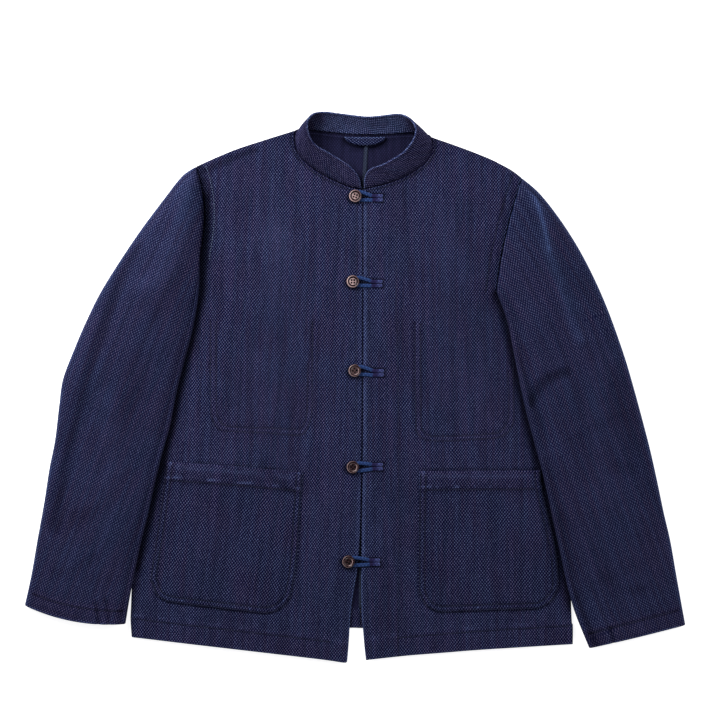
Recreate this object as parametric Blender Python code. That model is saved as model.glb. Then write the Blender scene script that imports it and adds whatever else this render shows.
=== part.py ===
"""A sashiko work jacket, buttoned, laid flat with its front up and its sleeves over its sides.

+X is the jacket's left-to-right as one looks down on it, +Y runs from hem to collar and +Z is up.
The origin is under the middle of the jacket, on the surface that it lies on. The wearer's right
is at -X. Tables and sizes are in millimetres.
"""
import math

import bmesh
import bpy
import numpy as np
from mathutils import Vector
from mathutils.geometry import delaunay_2d_cdt

MM = 0.001
WHOLE = 1e4  # a spacing wider than any panel, for one with no points inside

# Driving sizes
CLOTH = 1.8  # heavy two-ply sashiko cotton
SEAM_GAP = 0.3  # between pieces that are sewn together
ARMHOLE_GAP = 1.9  # where the sleeve cap rolls down into its seam
LAYER_GAP = 0.4  # between the back and the front where they lie on each other
COLLAR_WALL = 2.6  # two layers of cloth with a stay between them
HEM_DEPTH = 27.0
HEM_FOLD = 1.2  # how much the folded hem stands proud
FOLD_STEP = 3.0  # over which a folded band steps down to the cloth
BUTTON_RADIUS = 8.25
LOOP_WIDTH, LOOP_HEIGHT = 4.2, 2.4
PANEL_STEP = 27.0  # spacing of the points inside a curved panel
EDGE_STEP = 16.0  # spacing of the points along its edge

# Outlines on the floor plan, each row an (x, y) point that a smooth edge runs through
RIGHT_CENTRE_EDGE = [
    (10.3, 262.9), (10.4, 209.7), (10.1, 65.0), (9.2, -71.7), (7.6, -178.9), (4.8, -232.5),
    (0.2, -262.0), (-5.5, -298.2), (-8.0, -339.7), (-10.3, -367.6),
]
RIGHT_HEM = [(-10.3, -367.6), (-14.7, -369.1), (-46.8, -364.6), (-159.4, -351.5), (-298.9, -335.4)]
RIGHT_SIDE = [(-298.9, -335.4), (-300.4, -310.2), (-299.5, -286.1), (-292.1, -85.1), (-280.0, 129.3)]
RIGHT_UNDERARM = [(-280.0, 129.3), (-250.5, 134.7), (-223.7, 148.0), (-210.0, 166.0)]
RIGHT_SHOULDER = [
    (-211.9, 294.3), (-202.3, 299.0), (-176.1, 310.6), (-154.0, 319.2), (-120.8, 330.0), (-81.0, 342.4),
]
RIGHT_NECK = [
    (-81.0, 342.4), (-81.7, 327.6), (-78.3, 313.6), (-71.0, 303.9), (-58.2, 292.5), (-40.8, 281.1),
    (-22.7, 272.4), (-5.3, 265.6), (10.3, 262.9),
]
LEFT_CENTRE_EDGE = [
    (10.7, 262.9), (10.9, 174.9), (10.8, 65.0), (9.7, -111.9), (8.6, -192.3), (8.4, -247.2),
    (9.2, -298.2), (12.0, -339.7), (14.7, -365.6),
]
LEFT_HEM = [(14.7, -365.6), (65.7, -360.1), (114.0, -356.2), (178.3, -351.2), (291.5, -344.8)]
LEFT_SIDE = [(291.5, -344.8), (291.6, -319.6), (289.5, -294.1), (285.5, -85.1), (277.4, 115.9)]
LEFT_UNDERARM = [(277.4, 115.9), (241.3, 110.0), (212.0, 112.0), (190.5, 121.0)]
LEFT_SHOULDER = [
    (222.7, 279.3), (210.4, 289.0), (194.4, 297.9), (178.3, 305.7), (146.1, 318.4), (103.2, 333.5),
]
LEFT_NECK = [
    (103.2, 333.5), (104.6, 323.6), (102.6, 311.8), (94.3, 299.0), (81.1, 288.5), (61.7, 277.8),
    (42.0, 270.4), (22.8, 265.7), (10.7, 262.9),
]
BACK_NECK = [
    (-81.0, 342.4), (-53.5, 341.6), (-32.1, 338.9), (-10.0, 337.0), (15.6, 336.0), (33.6, 336.2),
    (56.3, 337.5), (72.4, 338.2), (88.5, 337.5), (103.2, 333.5),
]
BACK_HEM = [
    (-298.9, -335.4), (-207.6, -329.6), (-100.4, -325.0), (8.0, -323.4), (114.0, -327.6),
    (221.2, -337.7), (291.5, -344.8),
]
CENTRE_BACK = [(15.6, 336.0), (13.7, 296.8), (11.6, 256.6), (8.9, 169.5), (7.8, -18.1), (8.0, -323.4)]

# Patch pockets: the mouth, then the other edges; inner is the side nearest the centre front
RIGHT_POCKET = {
    "mouth": [(-251.9, -99.8), (-160.7, -106.5), (-68.9, -115.0)],
    "inner": [
        (-68.9, -115.0), (-71.2, -145.1), (-76.3, -225.5), (-81.5, -264.8), (-86.4, -282.1),
        (-95.2, -293.9), (-107.1, -301.5), (-120.8, -304.2),
    ],
    "bottom": [(-120.8, -304.2), (-180.6, -297.3), (-231.9, -291.3), (-252.4, -288.0)],
    "outer": [
        (-252.4, -288.0), (-265.3, -279.4), (-271.1, -264.8), (-273.8, -251.1), (-262.6, -177.6),
        (-251.9, -99.8),
    ],
}
LEFT_POCKET = {
    "mouth": [(86.0, -112.7), (167.6, -112.4), (249.3, -111.9)],
    "outer": [
        (249.3, -111.9), (252.0, -138.3), (269.8, -216.9), (273.2, -262.0), (269.4, -278.1),
        (261.0, -289.5), (245.0, -298.2),
    ],
    "bottom": [(245.0, -298.2), (180.0, -299.9), (113.3, -302.4)],
    "inner": [
        (113.3, -302.4), (100.6, -297.5), (91.2, -288.8), (85.2, -275.1), (84.4, -262.3),
        (84.6, -191.4), (86.0, -112.7),
    ],
}

# Sleeve sections: the fold away from the body, the fold over it, how far the section bows towards
# the cuff, the height of the top of the section and where across it that top lies (0 outside, 1 inside)
SLEEVE_COLUMNS = ("outer_x", "outer_y", "inner_x", "inner_y", "bow", "height", "ridge")
RIGHT_SLEEVE = [
    (-213.1, 293.7, -209.3, 171.6, -9.0, 21.0, 0.20),
    (-231.1, 280.8, -207.6, 150.2, -4.0, 24.0, 0.22),
    (-256.5, 248.7, -208.4, 128.9, 0.0, 26.0, 0.30),
    (-285.9, 209.3, -211.3, 102.2, 0.0, 26.0, 0.38),
    (-315.3, 165.8, -218.0, 68.9, 0.0, 26.0, 0.43),
    (-340.7, 124.4, -228.7, 28.8, 0.0, 25.0, 0.46),
    (-360.1, 85.0, -238.7, -11.2, 0.0, 24.0, 0.46),
    (-376.1, 47.5, -246.0, -49.9, 0.0, 24.0, 0.45),
    (-390.2, 10.1, -253.4, -76.5, 0.0, 24.0, 0.44),
    (-395.3, -24.6, -260.0, -101.9, 0.0, 24.0, 0.44),
    (-400.9, -71.4, -269.4, -140.6, 0.0, 23.0, 0.45),
    (-408.3, -108.8, -276.7, -173.9, 0.0, 22.0, 0.46),
    (-415.6, -155.6, -285.4, -208.6, 0.0, 20.0, 0.47),
    (-424.3, -203.7, -292.7, -242.0, 3.0, 18.0, 0.48),
    (-432.9, -253.2, -300.5, -281.2, 6.0, 16.0, 0.50),
    (-441.4, -291.7, -306.1, -316.0, 9.0, 15.0, 0.50),
]
LEFT_SLEEVE = [
    (223.9, 278.4, 189.5, 126.2, -4.0, 21.0, 0.16),
    (247.3, 257.4, 193.5, 114.9, 0.0, 24.0, 0.20),
    (274.1, 223.3, 199.5, 98.9, 0.0, 26.0, 0.28),
    (298.1, 185.9, 205.5, 78.2, 0.0, 26.0, 0.35),
    (318.2, 147.8, 210.9, 50.2, 0.0, 26.0, 0.40),
    (335.5, 109.0, 216.9, 19.5, 0.0, 25.0, 0.43),
    (349.6, 71.6, 223.5, -12.5, 0.0, 24.0, 0.45),
    (362.3, 34.2, 231.5, -45.9, 0.0, 24.0, 0.46),
    (373.6, -4.6, 240.2, -77.9, 0.0, 24.0, 0.47),
    (385.0, -46.7, 248.9, -110.6, 0.0, 24.0, 0.47),
    (395.0, -85.4, 257.6, -147.2, 0.0, 23.0, 0.47),
    (404.4, -127.5, 265.6, -184.6, 0.0, 22.0, 0.48),
    (413.1, -169.0, 274.2, -223.3, 0.0, 20.0, 0.48),
    (421.8, -206.4, 282.2, -260.6, 0.0, 18.0, 0.48),
    (429.1, -247.8, 291.6, -295.3, 0.0, 16.0, 0.50),
    (435.8, -285.3, 301.6, -322.0, 0.0, 15.0, 0.50),
    (441.8, -318.0, 313.2, -349.3, 0.0, 14.0, 0.50),
]

# The largest folds on the tops of the sleeves: a line on the plan, how far the cloth rises or
# sinks along it, and how wide it fades out on each side
SLEEVE_FOLDS = [
    {"line": [(-291.1, 188.5), (-321.6, 117.8), (-350.5, 27.3), (-364.9, -23.3), (-385.0, -104.4),
              (-400.9, -188.3)], "lift": -2.6, "fade": 15.0},
    {"line": [(-222.7, 278.2), (-226.0, 261.0), (-233.9, 202.0), (-253.6, 151.5), (-277.3, 133.8)],
     "lift": 2.4, "fade": 24.0},
    {"line": [(226.0, 273.6), (252.3, 208.8), (267.7, 154.1), (285.3, 114.5), (300.0, 60.0)],
     "lift": 2.6, "fade": 16.0},
    {"line": [(280.6, 17.0), (254.0, 6.4), (233.0, -23.9)], "lift": -4.2, "fade": 14.0},
]

# Collar sections, from the right front's end round the back to the left front's end
COLLAR_COLUMNS = ("seam_x", "seam_y", "seam_z", "top_x", "top_y", "top_z")
COLLAR = [
    (9.0, 264.8, 6.8, 7.2, 273.8, 10.0),
    (2.8, 265.7, 6.8, 2.8, 283.8, 12.5),
    (-7.9, 268.2, 6.8, -7.2, 294.3, 14.5),
    (-22.6, 274.3, 6.7, -21.9, 304.2, 16.0),
    (-40.0, 283.0, 6.5, -37.2, 313.3, 18.0),
    (-56.9, 294.3, 6.2, -50.0, 320.3, 20.0),
    (-68.9, 305.3, 5.8, -57.7, 329.1, 23.0),
    (-75.8, 315.0, 5.4, -61.4, 338.7, 26.0),
    (-79.0, 327.1, 5.0, -62.7, 345.8, 28.0),
    (-77.8, 337.8, 4.5, -61.1, 354.7, 29.0),
    (-68.2, 343.6, 4.0, -54.3, 362.5, 27.0),
    (-53.5, 343.2, 3.6, -40.4, 365.4, 23.0),
    (-32.0, 340.5, 3.2, -22.5, 363.8, 20.0),
    (-10.0, 338.6, 3.2, -3.9, 361.6, 19.0),
    (13.5, 337.6, 3.2, 15.9, 359.5, 19.0),
    (33.5, 337.8, 3.2, 34.7, 360.8, 19.0),
    (56.3, 339.1, 3.2, 54.6, 363.0, 20.0),
    (72.3, 339.9, 3.6, 65.2, 361.1, 23.0),
    (88.4, 339.0, 4.0, 73.8, 355.0, 27.0),
    (99.8, 332.5, 4.5, 78.7, 347.5, 29.0),
    (102.4, 322.8, 5.0, 80.2, 339.2, 28.0),
    (100.0, 312.4, 5.4, 76.4, 327.4, 26.0),
    (92.3, 301.0, 5.8, 65.9, 313.6, 23.0),
    (79.4, 290.5, 6.2, 52.0, 304.2, 20.0),
    (60.8, 280.0, 6.6, 35.4, 295.6, 17.5),
    (41.5, 272.4, 6.8, 22.8, 291.6, 15.0),
    (25.5, 268.1, 6.8, 15.4, 285.5, 12.5),
    (11.9, 265.0, 6.8, 12.1, 274.5, 10.0),
]

# Fastenings down the front: the button's middle, and the far end of its loop
FASTENINGS = [
    {"button": (0.6, 254.4), "loop_end": (37.6, 251.9)},
    {"button": (-2.6, 140.3), "loop_end": (37.0, 137.4)},
    {"button": (-0.2, 21.4), "loop_end": (38.8, 18.1)},
    {"button": (-2.6, -107.4), "loop_end": (37.5, -107.2)},
    {"button": (-8.5, -233.6), "loop_end": (33.8, -234.8)},
]


def rows(columns, table, name):
    """One named column of a table, as an array."""
    return np.array([row[columns.index(name)] for row in table], dtype=float)


def spline(values, at):
    """Values read at fractional row numbers of a table, on a smooth curve through every row."""
    values = np.asarray(values, dtype=float)
    last = len(values) - 1
    low = np.clip(np.floor(at).astype(int), 0, last - 1)
    f = np.asarray(at, dtype=float) - low
    if values.ndim > 1:
        f = f[:, None]
    before, start = values[np.maximum(low - 1, 0)], values[low]
    end, after = values[low + 1], values[np.minimum(low + 2, last)]
    slope_in, slope_out = (end - before) / 2, (after - start) / 2
    return (
        (2 * f**3 - 3 * f**2 + 1) * start + (f**3 - 2 * f**2 + f) * slope_in
        + (3 * f**2 - 2 * f**3) * end + (f**3 - f**2) * slope_out
    )


def smooth_edge(points, step=EDGE_STEP):
    """A smooth open line through the points, with corners only at its two ends."""
    points = np.array(points, dtype=float)
    fine = spline(points, np.linspace(0, len(points) - 1, 20 * len(points)))
    along = np.concatenate([[0], np.cumsum(np.linalg.norm(np.diff(fine, axis=0), axis=1))])
    count = max(2, round(along[-1] / step) + 1)
    at = np.linspace(0, along[-1], count)
    return np.stack([np.interp(at, along, fine[:, k]) for k in range(2)], axis=1)


def joined(*edges):
    """Edges that meet end to end, as one closed outline without its doubled corners."""
    return np.concatenate([edge[:-1] for edge in edges])


def edge_distance(points, edges):
    """How far each point is from the nearest of some open lines."""
    points = np.asarray(points, dtype=float)
    nearest = np.full(len(points), np.inf)
    for edge in edges:
        start, way = edge[:-1], np.diff(edge, axis=0)
        offset = points[:, None, :] - start[None]
        share = np.clip((offset * way).sum(2) / (way**2).sum(1), 0, 1)
        gap = np.linalg.norm(offset - share[..., None] * way, axis=2)
        nearest = np.minimum(nearest, gap.min(axis=1))
    return nearest


def is_inside(points, outline):
    """Which points lie inside a closed outline."""
    points = np.asarray(points, dtype=float)
    x, y = points[:, :1], points[:, 1:]
    a, b = outline, np.roll(outline, -1, axis=0)
    crosses = (a[:, 1] > y) != (b[:, 1] > y)
    rise = np.where(b[:, 1] == a[:, 1], 1.0, b[:, 1] - a[:, 1])
    reach = a[:, 0] + (y - a[:, 1]) / rise * (b[:, 0] - a[:, 0])
    return (crosses & (x < reach)).sum(axis=1) % 2 == 1


def ease(value):
    """A soft step from 0 to 1."""
    value = np.clip(value, 0, 1)
    return value * value * (3 - 2 * value)


def closed(outline):
    return np.concatenate([outline, outline[:1]])


def sleeve_value(table, column, row):
    """One column of a sleeve's table, read at a fractional row."""
    return spline(rows(SLEEVE_COLUMNS, table, column), np.array([row]))[0]


def section_line(table, row, across):
    """Plan points across one sleeve section; across runs from 0 at the outer fold to 1 at the inner."""
    outer_x, outer_y, inner_x, inner_y, bow = (sleeve_value(table, c, row) for c in SLEEVE_COLUMNS[:5])
    outer = np.array([outer_x, outer_y])
    chord = np.array([inner_x, inner_y]) - outer
    towards_cuff = np.array([chord[1], -chord[0]]) / np.linalg.norm(chord)
    if towards_cuff[1] > 0 or abs(towards_cuff[1]) < 0.3 and towards_cuff[0] * outer[0] < 0:
        towards_cuff = -towards_cuff
    share = np.asarray(across)[:, None]
    return outer + chord * share + towards_cuff * bow * 4 * share * (1 - share)


def armhole(table, underarm):
    """The armhole edge of a body panel, from the underarm up to the shoulder, just clear of the sleeve."""
    seam = section_line(table, 0.0, np.linspace(1, 0, 12))
    towards_body = np.array([-math.copysign(ARMHOLE_GAP, table[0][0]), 0.0])
    return np.concatenate([smooth_edge(underarm), seam + towards_body])


RIGHT_ARMHOLE = armhole(RIGHT_SLEEVE, RIGHT_UNDERARM)
LEFT_ARMHOLE = armhole(LEFT_SLEEVE, LEFT_UNDERARM)
SHUT_EDGES = [
    smooth_edge(RIGHT_SIDE), RIGHT_ARMHOLE, smooth_edge(RIGHT_SHOULDER),
    smooth_edge(LEFT_SIDE), LEFT_ARMHOLE, smooth_edge(LEFT_SHOULDER),
]
HEM_EDGES = [smooth_edge(RIGHT_HEM), smooth_edge(LEFT_HEM)]


def front_underside(points):
    """The height of the fronts' inner face, which lies on the back at the sides and puffs in the middle."""
    full, ripple, puff_width = 2.9, 0.4, 95.0
    points = np.asarray(points, dtype=float)
    rise = ease(edge_distance(points, SHUT_EDGES) / puff_width)
    wave = np.sin(points[:, 0] / 47.0) * np.cos(points[:, 1] / 83.0)
    return CLOTH + LAYER_GAP + rise * (full + ripple * wave)


def folded(from_edge, depth):
    """1 on a folded band of this depth and 0 past it, with a short step between them."""
    return ease((depth + FOLD_STEP / 2 - from_edge) / FOLD_STEP)


def front_top(points):
    """The height of the fronts' face, with the folded hem a little proud."""
    return front_underside(points) + CLOTH + HEM_FOLD * folded(edge_distance(points, HEM_EDGES), HEM_DEPTH)


def material(name, colour, roughness):
    made = bpy.data.materials.new(name)
    made.use_nodes = True
    shader = made.node_tree.nodes["Principled BSDF"]
    shader.inputs["Base Color"].default_value = (*colour, 1)
    shader.inputs["Roughness"].default_value = roughness
    return made


def add_object(name, bm, finish, smooth=True):
    """A named object from a bmesh in millimetres, its faces pointing out."""
    bmesh.ops.recalc_face_normals(bm, faces=bm.faces)
    bmesh.ops.scale(bm, vec=(MM, MM, MM), verts=bm.verts)
    mesh = bpy.data.meshes.new(name)
    bm.to_mesh(mesh)
    bm.free()
    mesh.materials.append(finish)
    if smooth:
        mesh.shade_smooth()
        mesh.set_sharp_from_angle(angle=math.radians(40))
    piece = bpy.data.objects.new(name, mesh)
    bpy.context.scene.collection.objects.link(piece)
    return piece


def panel(name, outline, underside, face, finish, step=PANEL_STEP, creases=()):
    """A flat-laid piece of cloth: its plan outline filled with even points, between two height fields."""
    low, high = outline.min(axis=0), outline.max(axis=0)
    grid = [
        (x + (step / 2 if row % 2 else 0), y)
        for row, y in enumerate(np.arange(low[1], high[1], step * 0.87))
        for x in np.arange(low[0], high[0], step)
    ]
    corners, links = list(outline), [(k, (k + 1) % len(outline)) for k in range(len(outline))]
    for crease in creases:
        first = len(corners)
        corners += list(crease)
        links += [(first + k, first + k + 1) for k in range(len(crease) - 1)]
    lines = [closed(outline), *creases]
    if step < np.ptp(outline, axis=0).max():
        grid = np.array(grid)
        keep = is_inside(grid, outline) & (edge_distance(grid, lines) > step * 0.45)
        corners += list(grid[keep])
    points, _, faces, *_ = delaunay_2d_cdt([Vector(p) for p in corners], links, [], 1, 1e-4)
    plan = np.array([tuple(p) for p in points])
    bm = bmesh.new()
    bottom = [bm.verts.new((x, y, z)) for (x, y), z in zip(plan, underside(plan))]
    top = [bm.verts.new((x, y, z)) for (x, y), z in zip(plan, face(plan))]
    used = {}
    for a, b, c in faces:
        bm.faces.new((top[a], top[b], top[c]))
        bm.faces.new((bottom[c], bottom[b], bottom[a]))
        for edge in ((a, b), (b, c), (c, a)):
            used[frozenset(edge)] = used.get(frozenset(edge), []) + [edge]
    for edges in used.values():
        if len(edges) == 1:
            a, b = edges[0]
            bm.faces.new((top[b], top[a], bottom[a], bottom[b]))
    bmesh.ops.delete(bm, geom=[v for v in bm.verts if not v.link_faces], context="VERTS")
    return add_object(name, bm, finish)


def shell(name, grid, wall, finish):
    """A curved strip of cloth: a grid of middle points, given its thickness along its own normals."""
    along = np.gradient(grid, axis=0)
    across = np.gradient(grid, axis=1)
    normal = np.cross(along, across)
    normal /= np.linalg.norm(normal, axis=2, keepdims=True)
    sides = [grid + normal * wall / 2, grid - normal * wall / 2]
    bm = bmesh.new()
    outer, inner = [[[bm.verts.new(tuple(p)) for p in row] for row in side] for side in sides]
    last_row, last_column = len(grid) - 1, len(grid[0]) - 1
    for i in range(last_row):
        for j in range(last_column):
            bm.faces.new((outer[i][j], outer[i + 1][j], outer[i + 1][j + 1], outer[i][j + 1]))
            bm.faces.new((inner[i][j + 1], inner[i + 1][j + 1], inner[i + 1][j], inner[i][j]))
    for i in range(last_row):
        for j in (0, last_column):
            bm.faces.new((outer[i][j], inner[i][j], inner[i + 1][j], outer[i + 1][j]))
    for j in range(last_column):
        for i in (0, last_row):
            bm.faces.new((outer[i][j], outer[i][j + 1], inner[i][j + 1], inner[i][j]))
    return add_object(name, bm, finish)


def pocket_outline(pocket, order):
    return joined(*(smooth_edge(pocket[edge], step=12.0) for edge in order))


POCKETS = {
    "pocket_right": (RIGHT_POCKET, ("mouth", "inner", "bottom", "outer")),
    "pocket_left": (LEFT_POCKET, ("mouth", "outer", "bottom", "inner")),
}
POCKET_OUTLINES = {name: pocket_outline(*made) for name, made in POCKETS.items()}
POCKET_GAP = 0.6
POCKET_BAND = 27.0
POCKET_FOLD = 1.2


def pocket_underside(points):
    return front_top(points) + POCKET_GAP


def pocket_face(points):
    """The pocket's face, with its folded mouth band a little proud."""
    mouths = [smooth_edge(pocket["mouth"]) for pocket, _ in POCKETS.values()]
    band = folded(edge_distance(points, mouths), POCKET_BAND)
    return pocket_underside(points) + CLOTH + POCKET_FOLD * band


def band_lines(edge, depth, towards):
    """The two lines between which a folded band steps down to the cloth."""
    way = np.gradient(edge, axis=0)
    way /= np.linalg.norm(way, axis=1, keepdims=True)
    normal = np.stack([-way[:, 1], way[:, 0]], axis=1)
    if (normal.mean(axis=0) * towards).sum() < 0:
        normal = -normal
    return [(edge + normal * reach)[1:-1] for reach in (depth - FOLD_STEP / 2, depth + FOLD_STEP / 2)]


# What a sleeve lies over: the part of the body outside a line from the armhole to the hem
REST_MARGIN, REST_RAMP, REST_GAP = 14.0, 16.0, 1.0


def shelf(side, underarm):
    """The outline of the body's side, where a sleeve lies over it."""
    edge = np.concatenate([smooth_edge(side), smooth_edge(underarm)[1:]])
    top, bottom = edge[-1], edge[0]
    return np.concatenate([edge, [(0.0, top[1]), (0.0, bottom[1])]])


SHELVES = [shelf(RIGHT_SIDE, RIGHT_UNDERARM), shelf(LEFT_SIDE, LEFT_UNDERARM)]


def signed_reach(points, outline):
    """Distance outside an outline, negative inside it."""
    gap = edge_distance(points, [closed(outline)])
    return np.where(is_inside(points, outline), -gap, gap)


def rest_height(points):
    """The height of what lies under a sleeve: the floor, the body's side or a pocket on it."""
    over_body = np.maximum(*(1 - ease((signed_reach(points, s) - REST_MARGIN) / REST_RAMP) for s in SHELVES))
    height = (front_top(points) + REST_GAP) * over_body
    for outline in POCKET_OUTLINES.values():
        near = 1 - ease((signed_reach(points, outline) - REST_MARGIN) / REST_RAMP)
        height += (POCKET_GAP + CLOTH + POCKET_FOLD) * near * over_body
    return height


def sleeve_folds(points):
    """How far the top of a sleeve rises or sinks where its largest folds run."""
    lift = np.zeros(len(points))
    for fold in SLEEVE_FOLDS:
        lift += fold["lift"] * ease(1 - edge_distance(points, [smooth_edge(fold["line"])]) / fold["fade"])
    return lift


def sleeve_section(table, row):
    """Outer and inner rings of one sleeve section, as points in space."""
    top_points, under_points, fold_points = 11, 7, 5
    cuff_row = len(table) - 1
    height, ridge = sleeve_value(table, "height", row), sleeve_value(table, "ridge", row)
    ends = section_line(table, row, [0, 1])
    width = np.linalg.norm(ends[1] - ends[0])
    # The cap rises from the seam over its first rows, and both folds round off with it.
    swell = math.sqrt(1 - (1 - min(row / 1.3, 1)) ** 2)
    to_cuff = row / cuff_row
    outer_fold = 2.7 + (8.2 - 3.2 * to_cuff - 2.7) * swell
    inner_fold = 2.7 + (5.6 - 1.6 * to_cuff - 2.7) * swell

    def support(across):
        return rest_height(section_line(table, row, across / width))

    ring = []
    inner_base = support(np.array([width - inner_fold]))[0]
    turn = np.linspace(-math.pi / 2, -3 * math.pi / 2, fold_points)
    for angle in turn:
        ring.append((outer_fold + outer_fold * math.cos(angle), outer_fold + outer_fold * math.sin(angle)))
    flat_width = width - outer_fold - inner_fold
    share = np.linspace(0, 1, top_points + 2)[1:-1]
    edge_top, inner_top = 2 * outer_fold, inner_base + 2 * inner_fold
    plain = edge_top + (inner_top - edge_top) * share
    crown = max(height - max(edge_top, inner_top), 0.8) * swell
    bump = np.sin(math.pi * share ** (math.log(0.5) / math.log(ridge))) ** 0.8
    on_top = outer_fold + flat_width * share
    folds = sleeve_folds(section_line(table, row, on_top / width)) * swell * np.sin(math.pi * share) ** 0.4
    ring += list(zip(on_top, plain + crown * bump + folds))
    for angle in np.linspace(math.pi / 2, -math.pi / 2, fold_points):
        ring.append((width - inner_fold + inner_fold * math.cos(angle),
                     inner_base + inner_fold + inner_fold * math.sin(angle)))
    under = width - inner_fold - flat_width * np.linspace(0, 1, under_points + 2)[1:-1]
    ring += list(zip(under, support(under)))
    ring = np.array(ring)
    way = np.roll(ring, -1, axis=0) - np.roll(ring, 1, axis=0)
    way /= np.linalg.norm(way, axis=1, keepdims=True)
    inward = np.stack([way[:, 1], -way[:, 0]], axis=1)
    wall = ring + inward * CLOTH
    return [
        np.column_stack([section_line(table, row, flat[:, 0] / width), flat[:, 1]])
        for flat in (ring, wall)
    ]


def sleeve(name, table, finish):
    """A tube of cloth through its sections, open at the armhole and the cuff."""
    near_seam = [0.0, 0.1, 0.3, 0.6]
    steps = near_seam + list(np.arange(1.0, 10.01, 0.5)) + list(np.arange(11.0, len(table), 1.0))
    sections = [sleeve_section(table, row) for row in steps]
    bm = bmesh.new()
    rings = [[[bm.verts.new(tuple(p)) for p in ring] for ring in section] for section in sections]
    count = len(rings[0][0])
    for near, far in zip(rings, rings[1:]):
        for layer in (0, 1):
            for k in range(count):
                after = (k + 1) % count
                bm.faces.new((near[layer][k], near[layer][after], far[layer][after], far[layer][k]))
    for outer, inner in (rings[0], rings[-1]):
        for k in range(count):
            after = (k + 1) % count
            bm.faces.new((outer[k], outer[after], inner[after], inner[k]))
    return add_object(name, bm, finish)


def collar(finish):
    """The stand collar, one band from front end to front end, slightly rounded across its height."""
    across, bulge = 4, 1.2
    seam = np.stack([rows(COLLAR_COLUMNS, COLLAR, f"seam_{c}") for c in "xyz"], axis=1)
    top = np.stack([rows(COLLAR_COLUMNS, COLLAR, f"top_{c}") for c in "xyz"], axis=1)
    at = np.linspace(0, len(COLLAR) - 1, 2 * len(COLLAR) - 1)
    seam, top = spline(seam, at), spline(top, at)
    along = np.gradient((seam + top) / 2, axis=0)
    outward = np.cross(top - seam, along)
    outward /= np.linalg.norm(outward, axis=1, keepdims=True)
    middle = np.array([13.0, 310.0, 10.0])
    away = (seam + top) / 2 - middle
    outward *= np.where((outward * away).sum(axis=1, keepdims=True) < 0, -1, 1)
    share = np.linspace(0, 1, across + 1)
    grid = np.stack([seam + (top - seam) * s + outward * bulge * 4 * s * (1 - s) for s in share], axis=1)
    return shell("collar", grid, COLLAR_WALL, finish)


def swept(name, path, width, height, finish):
    """A flattened cord along a path, its ends closed."""
    sides = 8
    path = np.array(path)
    way = np.gradient(path, axis=0)
    way[:, 2] = 0
    way /= np.linalg.norm(way, axis=1, keepdims=True)
    aside = np.stack([-way[:, 1], way[:, 0], way[:, 2]], axis=1)
    bm = bmesh.new()
    rings = []
    for point, normal in zip(path, aside):
        ring = []
        for k in range(sides):
            angle = 2 * math.pi * (k + 0.5) / sides
            offset = normal * width / 2 * math.cos(angle) / math.cos(math.pi / sides)
            lift = height / 2 * math.sin(angle) / math.cos(math.pi / sides)
            ring.append(bm.verts.new((point[0] + offset[0], point[1] + offset[1], point[2] + lift)))
        rings.append(ring)
    for near, far in zip(rings, rings[1:]):
        for k in range(sides):
            after = (k + 1) % sides
            bm.faces.new((near[k], near[after], far[after], far[k]))
    bm.faces.new(rings[0])
    bm.faces.new(rings[-1])
    return add_object(name, bm, finish)


BUTTON_LIFT = 3.4  # room under a button for its loop


def button(name, centre, finish):
    """A turned four-hole button on its thread shank."""
    segments = 24
    profile = [
        (0.0, -BUTTON_LIFT + LAYER_GAP), (1.9, -BUTTON_LIFT + LAYER_GAP), (1.9, 0.0), (6.6, 0.0),
        (BUTTON_RADIUS, 1.3), (BUTTON_RADIUS, 2.3), (7.5, 3.2), (6.3, 3.2), (5.2, 2.3), (0.0, 2.1),
    ]
    ground = front_top([centre])[0]
    bm = bmesh.new()
    line = [bm.verts.new((r, 0, z)) for r, z in profile]
    edges = [bm.edges.new(pair) for pair in zip(line, line[1:])]
    bmesh.ops.spin(bm, geom=line + edges, cent=(0, 0, 0), axis=(0, 0, 1), angle=2 * math.pi,
                   steps=segments, use_merge=True)
    bmesh.ops.remove_doubles(bm, verts=bm.verts, dist=1e-4)
    piece = add_object(name, bm, finish)
    piece.location = (centre[0] * MM, centre[1] * MM, (ground + BUTTON_LIFT) * MM)
    hole_radius, hole_offset, hole_floor, hole_sides = 0.85, 1.75, 0.8, 8
    cutter = bmesh.new()
    for quarter in range(4):
        angle = math.pi / 4 + quarter * math.pi / 2
        made = bmesh.ops.create_cone(cutter, cap_ends=True, segments=hole_sides, radius1=hole_radius,
                                     radius2=hole_radius, depth=4.0)
        place = (hole_offset * math.cos(angle), hole_offset * math.sin(angle), hole_floor + 2.0)
        bmesh.ops.translate(cutter, vec=place, verts=made["verts"])
    holes = add_object(name + "_holes", cutter, finish, smooth=False)
    holes.parent = piece
    holes.hide_render = True
    holes.display_type = "WIRE"
    cut = piece.modifiers.new("holes", "BOOLEAN")
    cut.operation = "DIFFERENCE"
    cut.object = holes
    return piece


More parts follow.
